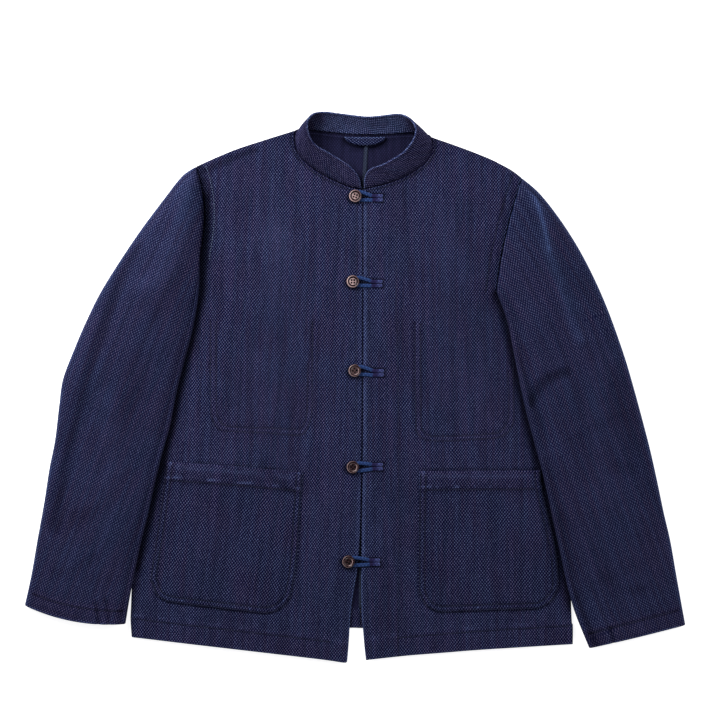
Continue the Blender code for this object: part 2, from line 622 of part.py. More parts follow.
def loop(name, centre, end, finish):
    """A button loop: two cords from a flat stitched tab, round the shank and back."""
    tab, half_gap = 16.0, 2.3
    bend_reach, bend_spread = 21.0, 3.6
    button_reach, button_spread = 9.0, 5.0
    shank_reach, shank_turn, shank_steps = 3.0, 4.6, 6
    middle_y = (end[1] + centre[1]) / 2
    tab_arm = [(end[0] - along, end[1], half_gap) for along in (0, tab / 2, tab)]
    button_arm = [
        (end[0] - bend_reach, middle_y, bend_spread), (centre[0] + button_reach, centre[1], button_spread),
        (centre[0] + shank_reach, centre[1], shank_turn),
    ]
    arm = tab_arm + button_arm
    turn = [
        (centre[0] + shank_turn * math.cos(a), centre[1] + shank_turn * math.sin(a))
        for a in np.linspace(math.radians(100), math.radians(260), shank_steps)
    ]
    out = [(x, y + spread) for x, y, spread in arm]
    back = [(x, y - spread) for x, y, spread in reversed(arm)]
    plan = np.array(out + turn + back)
    height = front_top(plan) + LAYER_GAP + LOOP_HEIGHT / 2
    return swept(name, np.column_stack([plan, height]), LOOP_WIDTH, LOOP_HEIGHT, finish)


def level(height):
    """A height field that is the same all over."""
    return lambda points: np.full(len(points), float(height))


def body_panels(finish):
    """Two backs flat on the floor, and two fronts on them."""
    hem, neck = smooth_edge(BACK_HEM), smooth_edge(BACK_NECK)
    seam = smooth_edge(CENTRE_BACK, step=40.0)
    half_gap, clear = np.array([SEAM_GAP / 2, 0.0]), 4.0
    hem_right, hem_left = hem[hem[:, 0] < seam[-1, 0] - clear], hem[hem[:, 0] > seam[-1, 0] + clear]
    neck_right, neck_left = neck[neck[:, 0] < seam[0, 0] - clear], neck[neck[:, 0] > seam[0, 0] + clear]
    back_right = np.concatenate([
        smooth_edge(RIGHT_SIDE)[:-1], RIGHT_ARMHOLE[:-1], smooth_edge(RIGHT_SHOULDER)[:-1],
        neck_right, seam - half_gap, hem_right[::-1][:-1],
    ])
    back_left = np.concatenate([
        smooth_edge(LEFT_SIDE)[:-1], LEFT_ARMHOLE[:-1], smooth_edge(LEFT_SHOULDER)[:-1],
        neck_left[::-1], seam + half_gap, hem_left[:-1],
    ])
    panel("back_right", back_right, level(0), level(CLOTH), finish, step=WHOLE)
    panel("back_left", back_left, level(0), level(CLOTH), finish, step=WHOLE)
    up = np.array([0.0, 1.0])
    fronts = {
        "front_right": (RIGHT_SIDE, RIGHT_ARMHOLE, RIGHT_SHOULDER, RIGHT_NECK, RIGHT_CENTRE_EDGE, RIGHT_HEM),
        "front_left": (LEFT_SIDE, LEFT_ARMHOLE, LEFT_SHOULDER, LEFT_NECK, LEFT_CENTRE_EDGE, LEFT_HEM),
    }
    for name, (side, armhole_edge, shoulder, neckline, centre, hem_edge) in fronts.items():
        others = [smooth_edge(edge) for edge in (shoulder, neckline, centre, hem_edge)]
        edges = [smooth_edge(side), armhole_edge, *others]
        creases = band_lines(smooth_edge(hem_edge, step=30.0), HEM_DEPTH, up)
        panel(name, joined(*edges), front_underside, front_top, finish, creases=creases)


def seam_tape(finish):
    """The binding along the centre-back seam, inside the back."""
    half_width, thickness, top_y, bottom_y = 2.7, 0.7, 331.0, -297.0
    seam = smooth_edge(CENTRE_BACK, step=30.0)
    at = np.linspace(top_y, bottom_y, 24)
    x = np.interp(-at, -seam[:, 1], seam[:, 0])
    outline = np.concatenate([
        np.column_stack([x - half_width, at]), np.column_stack([x + half_width, at])[::-1],
    ])
    low = CLOTH + SEAM_GAP
    panel("centre_back_tape", outline, level(low), level(low + thickness), finish, step=WHOLE)


def hanger_loop(finish):
    """The hanging loop inside the collar seam, a folded strip that droops in the middle."""
    top = [(-14.0, 334.0), (-2.0, 333.4), (13.5, 333.0), (29.0, 333.4), (41.0, 334.0)]
    droop = [
        (41.0, 334.0), (37.5, 328.5), (27.5, 323.8), (13.5, 322.0), (-0.5, 323.8), (-10.5, 328.5),
        (-14.0, 334.0),
    ]
    middle, low, thickness, lift = 13.5, CLOTH + 1.5, 2.2, 2.0

    def underside(points):
        return low + lift * np.cos(np.clip((points[:, 0] - middle) / 27.5, -1, 1) * math.pi / 2)

    outline = joined(smooth_edge(top, step=6.0), smooth_edge(droop, step=6.0))
    panel("hanger_loop", outline, underside, lambda p: underside(p) + thickness, finish, step=8.0)


def main():
    for old in list(bpy.data.objects):
        bpy.data.objects.remove(old)
    cloth = material("indigo_sashiko", (0.025, 0.026, 0.068), 0.9)
    loop_cloth = material("indigo_cord", (0.035, 0.055, 0.15), 0.85)
    tape_cloth = material("cotton_tape", (0.08, 0.11, 0.17), 0.85)
    horn = material("brown_button", (0.10, 0.055, 0.045), 0.35)
    body_panels(cloth)
    sleeve("sleeve_right", RIGHT_SLEEVE, cloth)
    sleeve("sleeve_left", LEFT_SLEEVE, cloth)
    collar(cloth)
    for name, (pocket, _) in POCKETS.items():
        lines = band_lines(smooth_edge(pocket["mouth"], step=24.0), POCKET_BAND, np.array([0.0, -1.0]))
        panel(name, POCKET_OUTLINES[name], pocket_underside, pocket_face, cloth, creases=lines)
    for number, places in enumerate(FASTENINGS, start=1):
        button(f"button_{number}", places["button"], horn)
        loop(f"loop_{number}", places["button"], places["loop_end"], loop_cloth)
    seam_tape(tape_cloth)
    hanger_loop(cloth)


main()
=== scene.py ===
"""A sashiko work jacket laid flat: its cloth, its sewing and its finish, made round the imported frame.

Lengths are in millimetres until a mesh is made. +X runs across, +Y from hem to collar and +Z up.
The wearer's right is at -X.
"""
import math

import bmesh
import bpy
import numpy as np
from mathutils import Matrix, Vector
from mathutils.geometry import delaunay_2d_cdt


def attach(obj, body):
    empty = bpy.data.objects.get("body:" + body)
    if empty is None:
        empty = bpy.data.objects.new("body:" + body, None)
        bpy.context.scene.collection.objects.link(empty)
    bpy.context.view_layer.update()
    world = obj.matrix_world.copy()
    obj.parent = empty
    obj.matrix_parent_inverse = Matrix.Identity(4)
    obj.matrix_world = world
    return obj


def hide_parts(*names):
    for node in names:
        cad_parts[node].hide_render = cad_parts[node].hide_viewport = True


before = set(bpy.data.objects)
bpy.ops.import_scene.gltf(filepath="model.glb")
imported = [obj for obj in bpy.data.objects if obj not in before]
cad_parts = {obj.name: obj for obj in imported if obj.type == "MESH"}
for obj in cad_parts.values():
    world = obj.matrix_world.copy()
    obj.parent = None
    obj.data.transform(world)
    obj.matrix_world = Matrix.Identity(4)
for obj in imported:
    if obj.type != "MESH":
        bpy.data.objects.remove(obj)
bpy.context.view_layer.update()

# The backs. Two panels of heavy sashiko cotton lie face down on the floor, joined by a centre-back
# seam. Their hem is turned up inside and stitched; what shows is the plain inside of the cloth, at
# the neck and in the slit under the last button.

MM = 0.001
CLOTH = 1.8
LAYER_GAP = 0.4
SEAM_GAP = 0.3
HEM_DEPTH, HEM_FOLD, FOLD_STEP = 27.0, 1.2, 3.0
HEM_STITCH = 25.0
ALLOWANCE, NECK_ALLOWANCE, UNDERARM_ALLOWANCE = 3.5, 5.0, 12.0
EDGE_STEP = 3.0  # between points along an edge
WARP, WEFT = 4.7, 3.6  # the weave's repeat along and across the grain

# The edges that a back and a front share, by side: -1 is the wearer's right, 1 the left
BODY = {
    -1: {
        "side": [(-298.9, -335.4), (-300.4, -310.2), (-299.5, -286.1), (-292.1, -85.1), (-280.0, 129.3)],
        "underarm": [(-280.0, 129.3), (-250.5, 134.7), (-223.7, 148.0), (-208.7, 169.0)],
        "armhole": [(-208.7, 169.0), (-203.4, 202.1), (-201.2, 232.6), (-204.0, 263.2), (-212.6, 294.2)],
        "shoulder": [
            (-212.6, 294.2), (-202.3, 299.0), (-176.1, 310.6), (-154.0, 319.2), (-120.8, 330.0),
            (-81.0, 342.4),
        ],
    },
    1: {
        "side": [(291.5, -344.8), (291.6, -319.6), (289.5, -294.1), (285.5, -85.1), (277.4, 115.9)],
        "underarm": [(277.4, 115.9), (241.3, 110.0), (212.0, 112.0), (188.2, 124.5)],
        "armhole": [(188.2, 124.5), (193.4, 164.9), (201.5, 203.2), (211.2, 241.0), (223.4, 279.0)],
        "shoulder": [
            (223.4, 279.0), (210.4, 289.0), (194.4, 297.9), (178.3, 305.7), (146.1, 318.4), (103.2, 333.5),
        ],
    },
}
BACK_NECK = [
    (-81.0, 342.4), (-53.5, 341.6), (-32.1, 338.9), (-10.0, 337.0), (15.6, 336.0), (33.6, 336.2),
    (56.3, 337.5), (72.4, 338.2), (88.5, 337.5), (103.2, 333.5),
]
BACK_HEM = [
    (-298.9, -335.4), (-207.6, -329.6), (-100.4, -325.0), (8.0, -323.4), (114.0, -327.6),
    (221.2, -337.7), (291.5, -344.8),
]
CENTRE_BACK = [(15.6, 336.0), (13.7, 296.8), (11.6, 256.6), (8.9, 169.5), (7.8, -18.1), (8.0, -323.4)]

# Creases: a line on the plan, how far the cloth rises or sinks along it, and the width it fades over
BACK_CREASES = [
    ([(-180, 240), (-150, 120), (-165, 20)], 0.5, 24), ([(190, 220), (165, 110), (172, -40)], 0.5, 22),
    ([(-60, 40), (-75, -90), (-60, -210)], 0.4, 30), ([(85, -60), (70, -180), (96, -280)], 0.4, 26),
]


def spline(values, at):
    """Values read at fractional row numbers of a table, on a smooth curve through every row."""
    values = np.asarray(values, dtype=float)
    last = len(values) - 1
    low = np.clip(np.floor(at).astype(int), 0, last - 1)
    f = (np.asarray(at, dtype=float) - low)[:, None]
    before, start = values[np.maximum(low - 1, 0)], values[low]
    end, after = values[low + 1], values[np.minimum(low + 2, last)]
    slope_in, slope_out = (end - before) / 2, (after - start) / 2
    return (
        (2 * f**3 - 3 * f**2 + 1) * start + (f**3 - 2 * f**2 + f) * slope_in
        + (3 * f**2 - 2 * f**3) * end + (f**3 - f**2) * slope_out
    )


def lengths(line):
    """How far along a line each of its points is."""
    return np.concatenate([[0], np.cumsum(np.linalg.norm(np.diff(line, axis=0), axis=1))])


def smooth_edge(points, step=EDGE_STEP):
    """A smooth open line through the points, with corners only at its two ends."""
    points = np.array(points, dtype=float)
    fine = spline(points, np.linspace(0, len(points) - 1, 40 * len(points)))
    along = lengths(fine)
    at = np.linspace(0, along[-1], max(2, round(along[-1] / step) + 1))
    return np.stack([np.interp(at, along, fine[:, k]) for k in range(fine.shape[1])], axis=1)


def joined(*edges):
    """Edges that meet end to end, as one closed outline without its doubled corners."""
    return np.concatenate([edge[:-1] for edge in edges])


def closed(outline):
    """An outline that ends where it starts."""
    return np.concatenate([outline, outline[:1]])


def beside(line, offset):
    """A line moved sideways on the plan, to its left if the offset is positive."""
    way = np.gradient(line, axis=0)
    way /= np.linalg.norm(way, axis=1, keepdims=True)
    return line + np.stack([-way[:, 1], way[:, 0]], axis=1) * offset


def distance(points, lines):
    """How far each plan point is from the nearest of some open lines."""
    start = np.concatenate([line[:-1] for line in lines])
    way = np.concatenate([np.diff(line, axis=0) for line in lines])
    squared = (way**2).sum(axis=1) + 1e-12
    nearest = np.empty(len(points))
    for first in range(0, len(points), 1000):
        offset = points[first:first + 1000, None, :] - start[None]
        share = np.clip((offset * way).sum(axis=2) / squared, 0, 1)
        offset -= share[..., None] * way
        nearest[first:first + 1000] = np.sqrt((offset**2).sum(axis=2).min(axis=1))
    return nearest


def is_inside(points, outline):
    """Which plan points lie inside a closed outline."""
    result = np.zeros(len(points), dtype=bool)
    a, b = outline, np.roll(outline, -1, axis=0)
    rise = np.where(b[:, 1] == a[:, 1], 1.0, b[:, 1] - a[:, 1])
    for first in range(0, len(points), 1000):
        x, y = points[first:first + 1000, :1], points[first:first + 1000, 1:]
        crosses = (a[:, 1] > y) != (b[:, 1] > y)
        reach = a[:, 0] + (y - a[:, 1]) / rise * (b[:, 0] - a[:, 0])
        result[first:first + 1000] = (crosses & (x < reach)).sum(axis=1) % 2 == 1
    return result


def ease(value):
    """A soft step from 0 to 1."""
    value = np.clip(value, 0, 1)
    return value * value * (3 - 2 * value)


def near(gap, width, at=0.0):
    """1 where a distance has the wanted value, falling softly to 0 over this width."""
    return ease(1 - abs(gap - at) / width)


def uneven(points, size, seed):
    """Soft repeatable unevenness, about -1 to 1, with lumps of about this size."""
    chance = np.random.default_rng(seed)
    total, waves = np.zeros(len(points)), 8
    for _ in range(waves):
        angle, phase = chance.uniform(0, 2 * math.pi, 2)
        pitch = size * chance.uniform(1.2, 2.6)
        total += np.sin(points @ [math.cos(angle), math.sin(angle)] * 2 * math.pi / pitch + phase)
    return total / waves * 1.8


def creased(points, creases):
    """How far the cloth rises or sinks along its creases, each a little uneven in width."""
    lift, ragged = np.zeros(len(points)), 1 + 0.22 * uneven(points, 34, 4)
    for line, height, width in creases:
        lift += height * ease(1 - distance(points, [smooth_edge(line, step=8.0)]) / width / ragged)
    return lift


def crease_shade_and_wear(crease):
    """A trough is darkened with painted shade and keeps its dye; a ridge is rubbed a little paler."""
    return 0.2 * np.minimum(crease, 0) + 0.05 * np.maximum(crease, 0)


def folded(from_edge, depth):
    """1 on a folded band of this depth and 0 past it, with a short step between them."""
    return ease((depth + FOLD_STEP / 2 - from_edge) / FOLD_STEP)


def stitched(points, rows, depth=0.5, width=1.2):
    """How deep rows of stitching pull the cloth down, with small puckers beside them."""
    gap = distance(points, rows)
    pucker = 0.16 * uneven(points, 5, 3) * near(gap, 6)
    return depth * np.exp(-((gap / width) ** 2)) + pucker


def triangles(outline, *groups):
    """Plan points and the triangles between them, from an outline and groups of points inside it."""
    corners = np.concatenate([outline, *groups])
    links = [(k, (k + 1) % len(outline)) for k in range(len(outline))]
    points, _, faces, *_ = delaunay_2d_cdt([Vector(p) for p in corners], links, [], 1, 1e-4)
    return np.array([tuple(p) for p in points]), np.array([tuple(f) for f in faces])


def fill(outline, step=4.8, seams=(), seed=1):
    """Triangles inside an outline, closer together at its edge and at its rows of stitching."""
    edge = [closed(outline)]
    insets, beside_row, rim_room, row_room, grid_room = (0.5, 1.1, 2.2), 1.5, 0.42, 2.8, step * 0.4
    row_height, jitter = step * 0.87, 0.1  # rows of even triangles, a little shaken
    rims = np.concatenate([beside(edge[0], side * inset)[:-1] for inset in insets for side in (-1, 1)])
    rims = rims[is_inside(rims, outline)]
    groups = [rims[distance(rims, edge) > rim_room]]
    if seams:
        rows = [beside(line, side) for line in seams for side in (-beside_row, 0.0, beside_row)]
        rows = np.concatenate(rows)
        rows = rows[is_inside(rows, outline)]
        groups.append(rows[distance(rows, edge) > row_room])
    low, high = outline.min(axis=0), outline.max(axis=0)
    x, y = np.meshgrid(np.arange(low[0], high[0], step), np.arange(low[1], high[1], row_height))
    x = x + np.where(np.arange(len(y)) % 2, step / 2, 0)[:, None]
    grid = np.stack([x.ravel(), y.ravel()], axis=1)
    grid += np.random.default_rng(seed).uniform(-jitter, jitter, grid.shape) * step
    grid = grid[is_inside(grid, outline)]
    grid = grid[distance(grid, edge) > insets[-1] + grid_room]
    if seams:
        grid = grid[distance(grid, seams) > beside_row + grid_room]
    return triangles(outline, *groups, grid)


def rounded(from_edge, radius=1.5, least=0.3):
    """The share of its thickness that a rounded edge has at this distance from its rim."""
    return np.maximum(np.sqrt(1 - (1 - np.clip(from_edge / radius, 0, 1)) ** 2), least)


def put(name, data):
    """Adds an object to the scene."""
    made = bpy.data.objects.new(name, data)
    bpy.context.scene.collection.objects.link(made)
    return made


def make_piece(name, points, faces, grain, finishes, face_finish=None, fade=None, tone=None):
    """A smooth mesh object. Grain is where each corner lies on the woven cloth. The first value per point
    is how pale it is, from wear on cloth and pale resin on buttons, raised by painted highlights and
    below zero giving painted shade; tone says how far its dye leans to blue (1) or to purple (-1)."""
    mesh = bpy.data.meshes.new(name)
    mesh.from_pydata((points * MM).tolist(), [], faces)
    if len(grain) == len(points):
        corner = np.empty(len(mesh.loops), dtype=np.int32)
        mesh.loops.foreach_get("vertex_index", corner)
        grain = grain[corner]
    layer = mesh.uv_layers.new(name="grain")
    layer.data.foreach_set("uv", np.ascontiguousarray(grain, dtype=np.float32).ravel())
    for word, values in (("fade", fade), ("tone", tone)):
        values = np.zeros(len(points)) if values is None else values
        stored = mesh.attributes.new(word, "FLOAT", "POINT")
        stored.data.foreach_set("value", np.asarray(values, dtype=np.float32))
    for finish in finishes:
        mesh.materials.append(finish)
    if face_finish is not None:
        mesh.polygons.foreach_set("material_index", np.asarray(face_finish, dtype=np.int32))
    bm = bmesh.new()
    bm.from_mesh(mesh)
    bmesh.ops.recalc_face_normals(bm, faces=bm.faces)
    bm.to_mesh(mesh)
    bm.free()
    mesh.shade_smooth()
    return put(name, mesh)


def make_layer(
    name, plan, faces, top, under, grain, finishes, face_finish=(0, 0), fade=None, tone=None,
):
    """A laid piece of cloth between two heights, closed round its edge."""
    count = len(plan)
    pairs = np.concatenate([faces[:, [0, 1]], faces[:, [1, 2]], faces[:, [2, 0]]])
    _, first, times = np.unique(np.sort(pairs, axis=1), axis=0, return_index=True, return_counts=True)
    rim = pairs[first[times == 1]]
    sides = np.stack([rim[:, 1], rim[:, 0], rim[:, 0] + count, rim[:, 1] + count], axis=1)
    everything = [*faces.tolist(), *(faces[:, ::-1] + count).tolist(), *sides.tolist()]
    points = np.concatenate([np.column_stack([plan, top]), np.column_stack([plan, under])])
    which = np.concatenate([
        np.broadcast_to(face_finish[0], len(faces)), np.broadcast_to(face_finish[1], len(faces)),
        np.zeros(len(sides)),
    ])
    both = [None if values is None else np.concatenate([values, values]) for values in (fade, tone)]
    return make_piece(name, points, everything, np.concatenate([grain, grain]), finishes, which, *both)


def linear(colour):
    """An sRGB hex colour as the linear values that shaders take."""
    parts = [int(colour[k:k + 2], 16) / 255 for k in (1, 3, 5)]
    return (*[c / 12.92 if c <= 0.04045 else ((c + 0.055) / 1.055) ** 2.4 for c in parts], 1.0)


def new_material(name):
    """A new material, its node tree and its shader."""
    made = bpy.data.materials.new(name)
    made.use_nodes = True
    return made, made.node_tree, made.node_tree.nodes["Principled BSDF"]


def connect(tree, node, inputs):
    """Sets a node's inputs, each to a value or to another node's output."""
    for key, value in inputs.items():
        if isinstance(value, bpy.types.NodeSocket):
            tree.links.new(value, node.inputs[key])
        else:
            node.inputs[key].default_value = value


def add(tree, kind, settings, inputs, out=0):
    """Adds a shader node with its settings and its inputs, and gives back one of its outputs."""
    made = tree.nodes.new("ShaderNode" + kind)
    for word, value in settings.items():
        setattr(made, word, value)
    connect(tree, made, inputs)
    return made.outputs[out]


def cotton(name, ground, blue, purple, worn, float_height, floats=1.0):
    """Indigo cotton with a rice-grain lattice of raised floats over a darker ground weave.

    Vat-dyed indigo takes unevenly on two-ply yarn, so the floats run in bluer and more purple streaks
    along the warp. The lattice's two slants lead by turns, which the eye reads as faint zigzags. Where
    it is rubbed it goes pale, first on the floats; sunk into a seam it keeps its dark dye. The same
    value also carries painted light: above zero a painted highlight pales it, below zero painted shade
    darkens it."""
    made, tree, shader = new_material(name)
    soft, colours = {"interpolation_type": "SMOOTHSTEP"}, {"data_type": "RGBA", "clamp_factor": False}

    grain = add(tree, "UVMap", {"uv_map": "grain"}, {}, "UV")
    wander = add(tree, "TexNoise", {}, {"Vector": grain, "Scale": 1 / 22}, "Color")
    place = add(tree, "VectorMath", {"operation": "MULTIPLY_ADD"}, {0: wander, 1: (3.2, 3.2, 0), 2: grain})
    repeats = (2 * math.pi / WEFT, 2 * math.pi / WARP, 0)
    place = add(tree, "VectorMath", {"operation": "MULTIPLY"}, {0: place, 1: repeats})
    turn = add(tree, "SeparateXYZ", {}, {0: place}).node.outputs
    rising = add(tree, "Math", {"operation": "SUBTRACT"}, {0: turn[0], 1: turn[1]})
    rising = add(tree, "Math", {"operation": "COSINE"}, {0: rising})
    falling = add(tree, "Math", {"operation": "ADD"}, {0: turn[0], 1: turn[1]})
    falling = add(tree, "Math", {"operation": "COSINE"}, {0: falling})
    patch = add(tree, "TexNoise", {}, {"Vector": grain, "Scale": 1 / 11}, "Color")
    patch = add(tree, "SeparateColor", {}, {0: patch}).node.outputs
    lead = {"Value": patch[0], "From Min": 0.35, "From Max": 0.65, "To Min": 0.38, "To Max": 0.57}
    lead = add(tree, "MapRange", soft, lead)
    ribs = add(tree, "Mix", {}, {0: lead, 2: rising, 3: falling})
    stroke = add(tree, "MapRange", soft, {"Value": ribs, "From Min": -0.15, "From Max": 0.8})
    yarn = add(tree, "TexNoise", {}, {"Vector": grain, "Scale": 1 / 2})
    yarn = {"Value": yarn, "From Min": 0.3, "From Max": 0.7, "To Min": 0.5 * floats, "To Max": 1.3 * floats}
    yarn = add(tree, "MapRange", soft, yarn)
    strong = add(tree, "Math", {"operation": "MULTIPLY"}, {0: stroke, 1: yarn})

    streak = add(tree, "Mapping", {}, {"Vector": grain, "Scale": (1 / 5, 1 / 110, 1)})
    streak = add(tree, "TexNoise", {}, {"Vector": streak, "Scale": 1.0}, "Color")
    broad = add(tree, "TexNoise", {}, {"Vector": grain, "Scale": 1 / 48}, "Color")
    dye = add(tree, "Mix", colours, {0: 0.3, 6: streak, 7: broad}, 2)
    dye = add(tree, "SeparateColor", {}, {0: dye}).node.outputs
    tone = add(tree, "Attribute", {"attribute_name": "tone"}, {}, "Fac")
    lean = add(tree, "Math", {"operation": "MULTIPLY_ADD"}, {0: tone, 1: 0.08, 2: dye[0]})
    lean = add(tree, "MapRange", soft, {"Value": lean, "From Min": 0.34, "From Max": 0.66})
    raised = add(tree, "Mix", colours, {0: lean, 6: linear(purple), 7: linear(blue)}, 2)
    colour = add(tree, "Mix", colours, {0: strong, 6: linear(ground), 7: raised}, 2)
    level = {"Value": dye[1], "From Min": 0.34, "From Max": 0.66, "To Min": 0.83, "To Max": 1.17}
    level = add(tree, "MapRange", soft, level)
    # Below zero the paleness value darkens the cloth, with kept dye in seams and with painted shade; above
    # zero it lightens it, with wear and with painted highlights, and mixes in the worn colour.
    fade = add(tree, "Attribute", {"attribute_name": "fade"}, {}, "Fac")
    level_shift = {"Value": fade, "From Min": -1.0, "From Max": 1.0, "To Min": 0.25, "To Max": 1.75}
    level_shift = add(tree, "MapRange", {}, level_shift)
    level = add(tree, "Math", {"operation": "MULTIPLY"}, {0: level, 1: level_shift})
    colour = add(tree, "VectorMath", {"operation": "SCALE"}, {0: colour, "Scale": level})
    rubbed = add(tree, "MapRange", {}, {"Value": stroke, "To Min": 0.25, "To Max": 0.8})
    rubbed = add(tree, "Math", {"operation": "MULTIPLY"}, {0: rubbed, 1: fade})
    patchy = {"Value": patch[1], "From Min": 0.3, "From Max": 0.65, "To Min": 0.5, "To Max": 1.15}
    patchy = add(tree, "MapRange", soft, patchy)
    clamped = {"operation": "MULTIPLY", "use_clamp": True}
    rubbed = add(tree, "Math", clamped, {0: rubbed, 1: patchy})
    colour = add(tree, "Mix", {"data_type": "RGBA"}, {0: rubbed, 6: colour, 7: linear(worn)}, 2)
    bump = add(tree, "Bump", {}, {"Height": stroke, "Distance": float_height * MM, "Strength": 0.8})
    connect(tree, shader, {
        "Base Color": colour, "Normal": bump, "Roughness": 0.9,
        "Specular IOR Level": 0.02, "Sheen Weight": 0.01, "Sheen Roughness": 0.45,
        "Sheen Tint": linear("#7C8CD0"),
    })
    return made


sashiko_cotton = cotton(
    "sashiko cotton, vat-dyed indigo", ground="#08092D", blue="#535C7F", purple="#5A5677",
    worn="#6A80B4", float_height=0.55,
)
# The wrong side of the same cloth: the floats hardly show, so it is flatter, darker and more purple.
wrong_side = cotton(
    "sashiko cotton, wrong side", ground="#1C1C35", blue="#3C4069", purple="#403A61",
    worn="#5B6684", float_height=0.2, floats=0.45,
)


def askew(points, degrees, coarser=1.0):
    """Where plan points lie on cloth that was cut turned clockwise, or whose weave is a bit coarser."""
    cos, sin = math.cos(math.radians(degrees)), math.sin(math.radians(degrees))
    return points @ np.array([[cos, sin], [-sin, cos]]) / coarser


def dress(piece, slot, *nodes):
    """Rides a finished piece on the jacket, in place of its plain nodes."""
    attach(piece, "root")
    if nodes:
        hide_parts(*nodes)


BODY_SHUT = [smooth_edge(line, step=10.0) for edges in BODY.values() for line in edges.values()]


def puff(points):
    """How far the fronts stand off the backs: nothing at the seams, a few millimetres between them."""
    full, ripple, puff_width = 2.9, 0.4, 95.0
    rise = ease(distance(points, BODY_SHUT) / puff_width)
    return rise * (full + ripple * np.sin(points[:, 0] / 47.0) * np.cos(points[:, 1] / 83.0))


# Where the hanging loop shades the cloth under it
under_hanger = smooth_edge([
    (-15, 331), (-10.5, 326), (-0.5, 321), (13.5, 319.3), (27.5, 321), (37.5, 326), (42, 331),
])
back_hem, back_neck, back_seam = smooth_edge(BACK_HEM), smooth_edge(BACK_NECK), smooth_edge(CENTRE_BACK)
TAPED = (-285.0, 325.0)  # where the tape holds the backs apart
# How many points of the armhole's allowance are by its lower corner, how far the underarm's stays
# off them, and the height of both
CORNER_POINTS, CORNER_GAP, TUCKED_HEIGHT = 8, 2.0, 0.5
for name, hand in (("back_right", -1), ("back_left", 1)):
    hem = back_hem[(back_hem[:, 0] - back_seam[-1, 0]) * hand > 2]
    neck = back_neck[(back_neck[:, 0] - back_seam[0, 0]) * hand > 2]
    neck, hem = (neck, hem[::-1]) if hand < 0 else (neck[::-1], hem)
    centre = back_seam.copy()
    taped = (back_seam[:, 1] < TAPED[1]) & (back_seam[:, 1] > TAPED[0])
    centre[:, 0] += np.where(taped, SEAM_GAP / 2, 0.005) * hand
    side, underarm, armhole, shoulder = [smooth_edge(edge) for edge in BODY[hand].values()]
    # The seam allowances reach a little way under the sleeve and the collar, and furthest under the
    # arm, where they hide a little of the floor. In a low view some of it still shows there.
    tuck, deep = [
        np.abs(np.sin(np.linspace(0, math.pi, len(edge))))[:, None] ** 0.2 * reach
        for edge, reach in ((armhole, [hand * ALLOWANCE, 0]), (underarm, [0, UNDERARM_ALLOWANCE]))
    ]
    lift = np.sin(np.linspace(0, math.pi / 2, len(neck)))[:, None] ** 0.3 * [0, NECK_ALLOWANCE]
    by_sleeve, under_arm = (armhole + tuck)[1:-1], (underarm + deep)[1:]
    corner = np.abs(by_sleeve[:CORNER_POINTS, 0]).max() + CORNER_GAP
    under_arm = under_arm[np.abs(under_arm[:, 0]) > corner]
    by_sleeve = by_sleeve[by_sleeve[:, 1] > under_arm[-1, 1]]
    body = np.concatenate([joined(side, underarm, armhole, shoulder), neck, centre, hem[:-1]])
    outline = np.concatenate([
        side[:-1], underarm[:1], under_arm, by_sleeve, shoulder[:-1], neck + lift,
        centre[:1] + [0, NECK_ALLOWANCE], centre, hem[:-1],
    ])
    plan, faces = fill(outline, step=8.0, seams=[beside(back_neck, -3.0), under_hanger])
    crease, from_hem = creased(plan, BACK_CREASES), distance(plan, [back_hem])
    # The neck's seam allowance shows as a grey line between two lines of painted shade.
    from_neck = distance(plan, [back_neck])
    fade = 0.25 * near(from_hem, 3) - 0.8 * near(distance(plan, [under_hanger]), 3.2)
    fade -= 0.2 * (plan[:, 1] > 150)
    fade += 0.4 * np.cos(from_neck / 3 * 2 * math.pi) * ease((6 - from_neck) / 2) * (from_neck > 0.7)
    turned_up = folded(from_hem, HEM_DEPTH) * np.minimum(0.4 * puff(plan), 0.9)
    inside = CLOTH + turned_up + 0.3 * crease
    inside = np.where(is_inside(plan, body) | (plan[:, 1] > 300), inside, TUCKED_HEIGHT)
    thin = rounded(distance(plan, [closed(outline)]))
    middle, half = (inside + crease) / 2, (inside - crease) / 2 * thin
    on_hem = distance(plan[faces].mean(axis=1), [back_hem]) < HEM_DEPTH
    piece = make_layer(
        name + "_cloth", plan, faces, middle + half, middle - half, plan, [sashiko_cotton, wrong_side],
        face_finish=(np.where(on_hem, 0, 1), 0), fade=fade, tone=uneven(plan, 60, 5),
    )
    dress(piece, "sashiko_cloth", name)

# The seam tape. A narrow cotton binding covers the centre-back seam inside, from the collar to the
# hem. It is greyer than the cloth, and worn pale along its middle where it shows at the neck.

TAPE_WIDTH, TAPE_TOP, TAPE_BOTTOM = 5.4, 334.0, -297.0
tape_y = np.linspace(TAPE_TOP, TAPE_BOTTOM, 320)
tape_line = np.column_stack([np.interp(-tape_y, -back_seam[:, 1], back_seam[:, 0]), tape_y])
half_width = np.array([TAPE_WIDTH / 2, 0.0])
outline = np.concatenate([tape_line - half_width, (tape_line + half_width)[::-1]])
plan, faces = fill(outline, step=1.8)
lifted = CLOTH + SEAM_GAP + 0.9 * rounded(distance(plan, [closed(outline)]), radius=1.0)
binding = cotton(
    "cotton binding, blue-grey", ground="#2B3144", blue="#56627C", purple="#50566E",
    worn="#8E9AB0", float_height=0.15, floats=0.5,
)
piece = make_layer(
    "centre_back_tape_binding", plan, faces, lifted + 0.15 * uneven(plan, 14, 8),
    np.full(len(plan), CLOTH + 0.15), plan, [binding],
    fade=0.4 * near(distance(plan, [tape_line]), 1.6) * ease((plan[:, 1] - 150) / 60) - 0.3,
)
dress(piece, "seam_tape", "centre_back_tape")

# The fronts. Two panels of the same cloth, face up, that meet edge to edge under the buttons. Each
# has a facing turned behind its front edge, a turned hem, and an inner pocket sewn behind the chest,
# which shows as a double line of stitching. Folded edges are rubbed pale.

